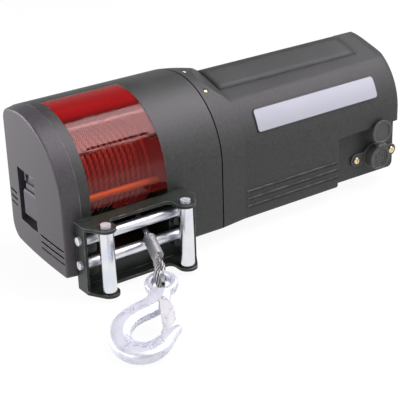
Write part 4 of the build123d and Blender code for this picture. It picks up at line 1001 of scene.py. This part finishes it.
class WINCH_OT_trim(bpy.types.Operator):
    """Finish the bare plate, the clutch lever and the handset socket"""

    bl_idname = "winch.trim"
    bl_label = "Plate, lever and socket"

    def execute(self, context):
        colours = context.scene.winch_colours
        plate = brushed_plate("brushed bare plate", colours.plate, *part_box("nameplate"), corner=5 * MM)
        coat_nodes(plate, "nameplate")
        grey = moulding("grey lever", colours.lever, roughness=0.6, grain=0.0008, depth=0.00005)
        coat_nodes(grey, "clutch_lever")

        # Handle and knuckle moulded on the lever: side profiles of depth in the recess and height, carried
        # across it to a distance past the lever's high side, with bevelled ends.
        low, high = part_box("clutch_lever")
        cover_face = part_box("clutch_cover")[0].x
        handle = ((10.0, 68.0), (6.2, 68.0), (5.0, 70.5), (5.0, 101.5), (6.6, 104.0), (10.0, 104.0))
        knuckle = ((10.0, 106.5), (7.4, 106.5), (6.2, 107.8), (6.2, 112.5), (7.4, 114.0), (10.0, 114.0))
        bevel = 0.8 * MM
        for name, profile, past in (("lever_handle", handle, 6.0), ("lever_knuckle", knuckle, -0.4)):
            depth, rise = np.array(profile).T * MM
            first = low.y + 0.4 * MM
            last = high.y + past * MM
            rings = []
            for across, sunk in ((first, bevel), (first + bevel, 0.0), (last - bevel, 0.0), (last, bevel)):
                reach = np.minimum(depth + sunk, depth.max())
                rings.append(np.stack((cover_face + reach, np.full_like(rise, across), rise), -1))
            settle(through_rings(name, rings), "clutch_lever", slot="lever", finish=grey)

        rubber = moulding(
            "black rubber", colours.rubber, roughness=0.6, grain=0.0006, depth=0.00006, wear_and_edge_highlight=0.2
        )
        coat_nodes(rubber, "socket_body", "socket_cap", "contactor", "brushes", "brake_lining")

        # Contact insert in the socket, and five short pins standing on it.
        face = np.array(SOCKET_FACE) * MM
        profile = ((0.02, 2.4), (10.2, 2.4), (10.9, 3.1), (10.9, 11.9), (0.02, 11.9))
        insert = turned("socket_insert", profile, [face])
        settle(insert, "frame", slot="socket", finish=rubber)
        pin_circle = 6.2 * MM
        turn = np.pi / 2 + circle(5)
        feet = face + np.stack((np.cos(turn), 0 * turn, np.sin(turn)), -1) * pin_circle
        profile = ((0.02, 1.2), (0.5, 1.3), (0.9, 1.7), (0.9, 2.9), (0.02, 2.9))
        pins = turned("socket_pins", profile, feet)
        tarnish = plated_steel("tarnished pins", darker(colours.brass, 0.15), roughness=0.5, lines=NO_LINES)
        settle(pins, "frame", slot="brass", finish=tarnish)
        return {"FINISHED"}


class WINCH_OT_guard(bpy.types.Operator):
    """Make the drum guard clear red, the tie bars plated and the guard's hinge pin dark"""

    bl_idname = "winch.guard"
    bl_label = "Drum guard"

    def execute(self, context):
        colours = context.scene.winch_colours
        sheet = clear_guard(
            "clear red sheet", colours.guard, colours.top_tint, colours.front_tint,
            top_dye=0.3, front_dye=0.06,
        )
        coat_nodes(sheet, "drum_guard_top", "drum_guard_flap")
        bars = plated_steel(
            "passivated bars", colours.tie_bar, roughness=0.45, lines=(30.0, 900.0, 900.0),
            tint=(1.0, 0.85, 0.75), metal=0.3,
        )
        coat_nodes(bars, "tie_bars")
        pin = moulding("dark hinge pin", (0.02, 0.02, 0.02), roughness=0.5, grain=0.0006, depth=0.00003)
        coat_nodes(pin, "flap_hinge_pin")
        return {"FINISHED"}


class WINCH_OT_fittings(bpy.types.Operator):
    """Plate the rollers, pins and rope fittings"""

    bl_idname = "winch.fittings"
    bl_label = "Rollers and fittings"

    def execute(self, context):
        zinc = context.scene.winch_colours.zinc
        upright = plated_steel("bright plate upright", zinc, roughness=0.20, lines=UPRIGHT_LINES)
        level = plated_steel("bright plate level", zinc, roughness=0.38, lines=LEVEL_LINES)
        dull = plated_steel("dull plate", darker(zinc, 0.95), roughness=0.4, lines=NO_LINES)
        grey = plated_steel("grey sleeve", darker(zinc, 0.55), roughness=0.38, lines=NO_LINES)
        coat_nodes(upright, "left_roller", "right_roller")
        coat_nodes(level, "lower_roller", "upper_roller")
        coat_nodes(dull, "thimble", "latch_pin")
        coat_nodes(forged_plate("zinc pins", zinc, roughness=0.35), "roller_pins", "hook_latch")
        coat_nodes(grey, "cap_hinge_pin")
        coat_nodes(forged_plate("crimped sleeve", darker(zinc, 0.4), roughness=0.4), "rope_ferrule")
        return {"FINISHED"}


class WINCH_OT_works(bpy.types.Operator):
    """Finish the drum, the gears, the brake and the motor inside"""

    bl_idname = "winch.works"
    bl_label = "Drum, gears and motor"

    def execute(self, context):
        steel = turned_steel("turned steel", (0.52, 0.52, 0.53), 0.34)
        dark = turned_steel("dark iron", (0.12, 0.12, 0.125), 0.5)
        bronze = turned_steel("bearing bronze", (0.6, 0.42, 0.2), 0.36)
        copper = turned_steel("copper", (0.72, 0.38, 0.22), 0.33)
        gears = ["input_sun", "first_carrier", "ring_gear", "output_shaft"]
        gears += ["%s_planet_%d" % (stage, index) for stage in ("output", "input") for index in (1, 2, 3)]
        coat_nodes(steel, "drum", "clutch_dog", "brake_disc", *gears)
        coat_nodes(dark, "clutch_rod", "lever_pin", "field_magnets", "armature")
        coat_nodes(bronze, "drum_bushes", "motor_bearings")
        coat_nodes(copper, "commutator", "contactor_studs")
        return {"FINISHED"}


class WINCH_OT_winding(bpy.types.Operator):
    """Lay the rope on the drum: the outer layer strand by strand over a ridged lower layer"""

    bl_idname = "winch.winding"
    bl_label = "Rope on the drum"

    def execute(self, context):
        rope = context.scene.winch_rope
        colour = context.scene.winch_colours.wire
        radius = rope.diameter / 2
        lay_low, lay_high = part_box("rope_winding")
        lay_radius = (lay_high.z - lay_low.z) / 2 - radius
        crest = (lay_radius + radius * 0.3, lay_radius + radius * 0.9)
        # The rope on the drum is a darker copy of the rope's wire colour: painted shade under the guard.
        wire = stranded_wire("rope wires", darker(colour, 0.75), (0.008, 0.012, 0.008), crest)

        # The angle falls by half a circle for each half turn of rope, which moves along by half a pitch. The
        # rope starts sunk by most of its diameter and rises on a smooth step.
        half = np.linspace(0.0, rope.half_turns, WINDING_POINTS)
        angle = np.pi / 2 - np.pi * half
        climb = np.clip(half / rope.climb, 0, 1)
        sunk = rope.diameter * 0.9 * (1 - climb * climb * (3 - 2 * climb))
        out = np.stack((np.zeros_like(half), np.cos(angle), np.sin(angle)), -1)
        first = drum_axis[0] - rope.half_turns * rope.pitch / 4
        path = out * (lay_radius - sunk)[:, None]
        path += np.stack((first + half * rope.pitch / 2, 0 * half, 0 * half + drum_axis[2]), -1)
        outer = wire_rope("rope_on_drum", path, out, radius, rope.lay)
        settle(outer, "drum", "rope_winding", slot="rope", finish=wire)

        layer = ridged_layer("rope_lower_layer", *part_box("rope_core"), rope)
        below = stranded_wire("rope wires below", colour, (0.04, 0.04, 0.04))
        settle(layer, "drum", "rope_core", slot="rope", finish=below)
        return {"FINISHED"}


class WINCH_OT_hook(bpy.types.Operator):
    """Forge the hook: a section carried along its middle line, joined to its eye and smoothed as one skin"""

    bl_idname = "winch.hook"
    bl_label = "Hook"

    def execute(self, context):
        hook = context.scene.winch_hook
        heading, dip = math.radians(hook.heading), math.radians(hook.dip)
        level = np.array((math.cos(heading), math.sin(heading), 0.0))
        upright = np.array((0.0, 0.0, 1.0))
        way = level * math.cos(dip) - upright * math.sin(dip)
        up = level * math.sin(dip) + upright * math.cos(dip)
        side = np.cross(up, way)

        # Middle line of the hook from the eye to the point: along, across, half width and half thickness.
        stations = (
            (15.5, 1.2, 13.4, 6.4),
            (26.2, 3.0, 13.9, 7.4),
            (36.0, 1.2, 14.3, 8.2),
            (50.1, -10.3, 13.8, 8.5),
            (63.0, -21.5, 13.4, 8.5),
            (80.2, -28.1, 13.3, 8.5),
            (95.0, -27.6, 13.3, 8.5),
            (112.0, -18.0, 13.6, 8.5),
            (120.3, -1.0, 14.5, 8.4),
            (116.5, 14.5, 13.8, 8.2),
            (102.3, 25.5, 11.1, 7.6),
            (91.0, 30.3, 8.6, 7.0),
            (79.7, 35.2, 6.0, 5.8),
            (71.0, 39.4, 4.3, 4.6),
        )
        turn = circle(56)
        shank = hook_shank(hook, stations, turn)
        eye = hook_eye(hook, turn)
        hoop, _ = grid_quads(len(eye), len(turn), ring_rows=True, ring_columns=True)
        faces = tube_faces(len(shank), len(turn)) + (hoop + len(shank) * len(turn)).tolist()
        local = np.concatenate((shank, eye)).reshape(-1, 3)
        world = np.array(HOOK_EYE) * MM + local[:, :1] * way + local[:, 1:2] * side + local[:, 2:] * up
        blank = fill_mesh("hook_blank", world, faces)
        remesh = blank.modifiers.new("skin", "REMESH")
        remesh.mode = "VOXEL"
        remesh.voxel_size = hook.grain
        smooth = blank.modifiers.new("forge", "SMOOTH")
        smooth.factor = 0.5
        smooth.iterations = 5
        skin = settled_mesh(blank)
        bpy.data.objects.remove(blank)
        skin.name = "forged_hook"
        skin.polygons.foreach_set("use_smooth", np.full(len(skin.polygons), True))
        satin = forged_plate("satin plate on forging", context.scene.winch_colours.forging, roughness=0.36)
        settle(show("forged_hook", skin), "hook", "hook", slot="zinc", finish=satin)
        return {"FINISHED"}


class WINCH_OT_lead(bpy.types.Operator):
    """Run the rope from the drum through the fairlead, and round the thimble in the hook's eye"""

    bl_idname = "winch.lead"
    bl_label = "Rope to the hook"

    def execute(self, context):
        rope = context.scene.winch_rope
        radius = rope.diameter / 2
        wire = stranded_wire("rope wires out", context.scene.winch_colours.wire, (0.012, 0.014, 0.012))
        lead_route = np.array(((7.0, -31.0, 60.0), (-22.6, -104.0, 64.6), (-26.3, -118.7, 59.3))) * MM
        line = route_line(lead_route)
        path = evenly(line, LEAD_STEP)
        lead = wire_rope("rope_lead_out", path, (0.0, 0.0, 1.0), radius, rope.lay, sides=10)
        settle(lead, "frame", "rope_lead", slot="rope", finish=wire)

        # The loop leaves the ferrule, goes over the thimble and under it, and comes back to the ferrule.
        loop_route = np.array(
            (
                (-34.3, -149.0, 51.8),
                (-38.1, -155.2, 49.7),
                (-47.6, -165.6, 50.5),
                (-54.9, -182.0, 51.0),
                (-63.0, -192.5, 48.4),
                (-58.3, -190.9, 25.0),
                (-47.7, -180.8, 27.8),
                (-38.5, -166.8, 34.5),
                (-33.7, -159.2, 41.9),
                (-33.8, -150.5, 44.4),
            )
        ) * MM
        across = np.array(joints["hook_swing"]["axis"])
        bend = evenly(route_line(loop_route), LEAD_STEP)
        loop = wire_rope("rope_loop_round_thimble", bend, across, radius, rope.lay, sides=10)
        settle(loop, "frame", "rope_loop", slot="rope", finish=wire)
        return {"FINISHED"}


class WINCH_OT_screws(bpy.types.Operator):
    """Cut cross recesses in the screws of the handset socket and the motor cover"""

    bl_idname = "winch.screws"
    bl_label = "Screws"

    def execute(self, context):
        colour = context.scene.winch_colours.brass
        brass = plated_steel("brass screws", colour, roughness=0.24, lines=NO_LINES, tint=(1.0, 0.9, 0.8))
        low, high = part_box("socket_screws")
        radius = (high.z - low.z) / 2
        height = 3 * MM
        forward = (0.0, -1.0, 0.0)
        places = [(x, low.y + height, low.z + radius) for x in (low.x + radius, high.x - radius)]
        seats = [(place, forward) for place in places]
        socket = screw_heads("socket_screw_heads", seats, radius, height, length=9 * MM)
        settle(socket, "frame", "socket_screws", slot="brass", finish=brass)

        # The cover's screws stand in counterbores a little wider than their heads, square to the crown.
        low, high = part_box("cover_screws")
        middle = np.array(((low.x + high.x) / 2, CROWN_MIDDLE[0] * MM, CROWN_MIDDLE[1] * MM))
        angles = np.radians(SCREW_ANGLES)
        axes = np.stack((0 * angles, np.cos(angles), np.sin(angles)), -1)
        seats = [(middle + axis * COUNTERBORE * MM, axis) for axis in axes]
        cover = screw_heads("cover_screw_heads", seats, radius=2.9 * MM, height=2.2 * MM, length=1.5 * MM)
        settle(cover, "frame", "cover_screws", slot="zinc", finish=brass)
        return {"FINISHED"}


class WINCH_OT_stage(bpy.types.Operator):
    """Set the floor, the even light, the lamps and the camera"""

    bl_idname = "winch.stage"
    bl_label = "Stage"

    def execute(self, context):
        scene = context.scene
        stage = scene.winch_stage
        scene.view_settings.view_transform = "Standard"

        # Pale floor just below the feet. What the camera and mirrors see of it is mostly an even white.
        sunk = 0.0002
        step = np.linspace(-stage.floor, stage.floor, 25)
        row, column = np.meshgrid(step, step, indexing="ij")
        quads, _ = grid_quads(len(step), len(step))
        points = np.stack((row, column, 0 * row - sunk), -1).reshape(-1, 3)
        floor = fill_mesh("floor", points, quads[:, ::-1].tolist(), closed=False)
        pale = Finish("pale floor")
        cloth = pale.shader(Base_Color=(0.6, 0.6, 0.6, 1.0), Roughness=0.9, Specular_IOR_Level=0.0)
        glow = pale.node("ShaderNodeEmission", None, {"Color": WHITE, "Strength": 1.04})
        coat(floor, pale.done(pale.over(pale.background_rays() * 0.9, cloth, glow)))

        # Even light: white at the horizon, less above it and least overhead.
        scene.world = bpy.data.worlds.new("studio")
        sky = Finish("studio", scene.world)
        height = sky.split(sky.node("ShaderNodeTexCoord", out="Generated"))[2]
        strength = stage.sky + height.between(0.05, 0.7) * (stage.zenith - stage.sky)
        strength += (1.0 - height.between(0.02, 0.2)) * (1.0 - stage.sky)
        even = sky.node("ShaderNodeBackground", None, {"Color": WHITE, "Strength": strength})
        sky.node("ShaderNodeOutputWorld", None, {"Surface": even})

        # Lamps: place, aim, long and short side, power. The long side runs along the drum.
        lamps = (
            ("key lamp", (0.78, -0.42, 1.52), (-0.03, -0.06, 0.19), (1.6, 1.5), stage.key),
            ("front lamp", (1.2, -1.13, 0.68), (0.3, -0.08, 0.15), (0.5, 0.7), stage.front),
            ("strip lamp", (0.76, -0.03, 1.40), (-0.03, -0.06, 0.19), (1.4, 0.1), stage.strip),
            ("fill lamp", (-1.25, -0.33, 0.81), (-0.13, -0.05, 0.15), (0.7, 0.7), stage.fill),
            ("side lamp", (-1.05, 1.15, 0.42), (-0.13, 0.0, 0.1), (1.1, 0.8), stage.side),
        )
        for name, place, aim, (long_side, short_side), power in lamps:
            data = bpy.data.lights.new(name, "AREA")
            data.shape = "RECTANGLE"
            data.size = long_side
            data.size_y = short_side
            data.energy = power
            data.color = stage.tint
            back = unit(np.array(place) - np.array(aim))
            set_place(show(name, data), place, back, np.cross(back, (1.0, 0.0, 0.0)))

        heading, drop, roll = (math.radians(value) for value in (stage.heading, stage.drop, stage.roll))
        level = np.array((math.sin(heading), math.cos(heading), 0.0))
        ahead = level * math.cos(drop) - np.array((0.0, 0.0, math.sin(drop)))
        right = np.array((math.cos(heading), -math.sin(heading), 0.0))
        down = np.cross(ahead, right)
        tilted_down = -math.sin(roll) * right + math.cos(roll) * down
        data = bpy.data.cameras.new("camera")
        data.lens = stage.lens
        data.sensor_width = 36.0
        scene.camera = show("camera", data)
        set_place(scene.camera, stage.eye, -ahead, -tilted_down)
        return {"FINISHED"}


PIECES = (
    WINCH_OT_stage,
    WINCH_OT_hook,
    WINCH_OT_lead,
    WINCH_OT_winding,
    WINCH_OT_housings,
    WINCH_OT_trim,
    WINCH_OT_guard,
    WINCH_OT_fittings,
    WINCH_OT_works,
    WINCH_OT_screws,
)


GROUPS = {
    "winch_rope": RopeSizes,
    "winch_hook": HookSizes,
    "winch_colours": FinishColours,
    "winch_stage": StageSizes,
}


class WINCH_PT_panel(bpy.types.Panel):
    """Lists the winch's pieces and their sizes."""

    bl_label = "Winch"
    bl_idname = "WINCH_PT_panel"
    bl_space_type = "VIEW_3D"
    bl_region_type = "UI"
    bl_category = "Winch"

    def draw(self, context):
        for piece in PIECES:
            self.layout.operator(piece.bl_idname)
        for group_name in GROUPS:
            group = getattr(context.scene, group_name)
            box = self.layout.box()
            for name in group.bl_rna.properties.keys():
                if name not in ("rna_type", "name"):
                    box.prop(group, name)


def register():
    for group in GROUPS.values():
        bpy.utils.register_class(group)
    for piece in PIECES:
        bpy.utils.register_class(piece)
    bpy.utils.register_class(WINCH_PT_panel)
    for name, group in GROUPS.items():
        setattr(bpy.types.Scene, name, PointerProperty(type=group))


def unregister():
    for name in GROUPS:
        delattr(bpy.types.Scene, name)
    bpy.utils.unregister_class(WINCH_PT_panel)
    for piece in reversed(PIECES):
        bpy.utils.unregister_class(piece)
    for group in reversed(list(GROUPS.values())):
        bpy.utils.unregister_class(group)


def main():
    register()
    bpy.ops.winch.stage()
    bpy.ops.winch.hook()
    bpy.ops.winch.lead()
    bpy.ops.winch.winding()
    bpy.ops.winch.housings()
    bpy.ops.winch.trim()
    bpy.ops.winch.guard()
    bpy.ops.winch.fittings()
    bpy.ops.winch.works()
    bpy.ops.winch.screws()


if __name__ == "__main__":
    main()
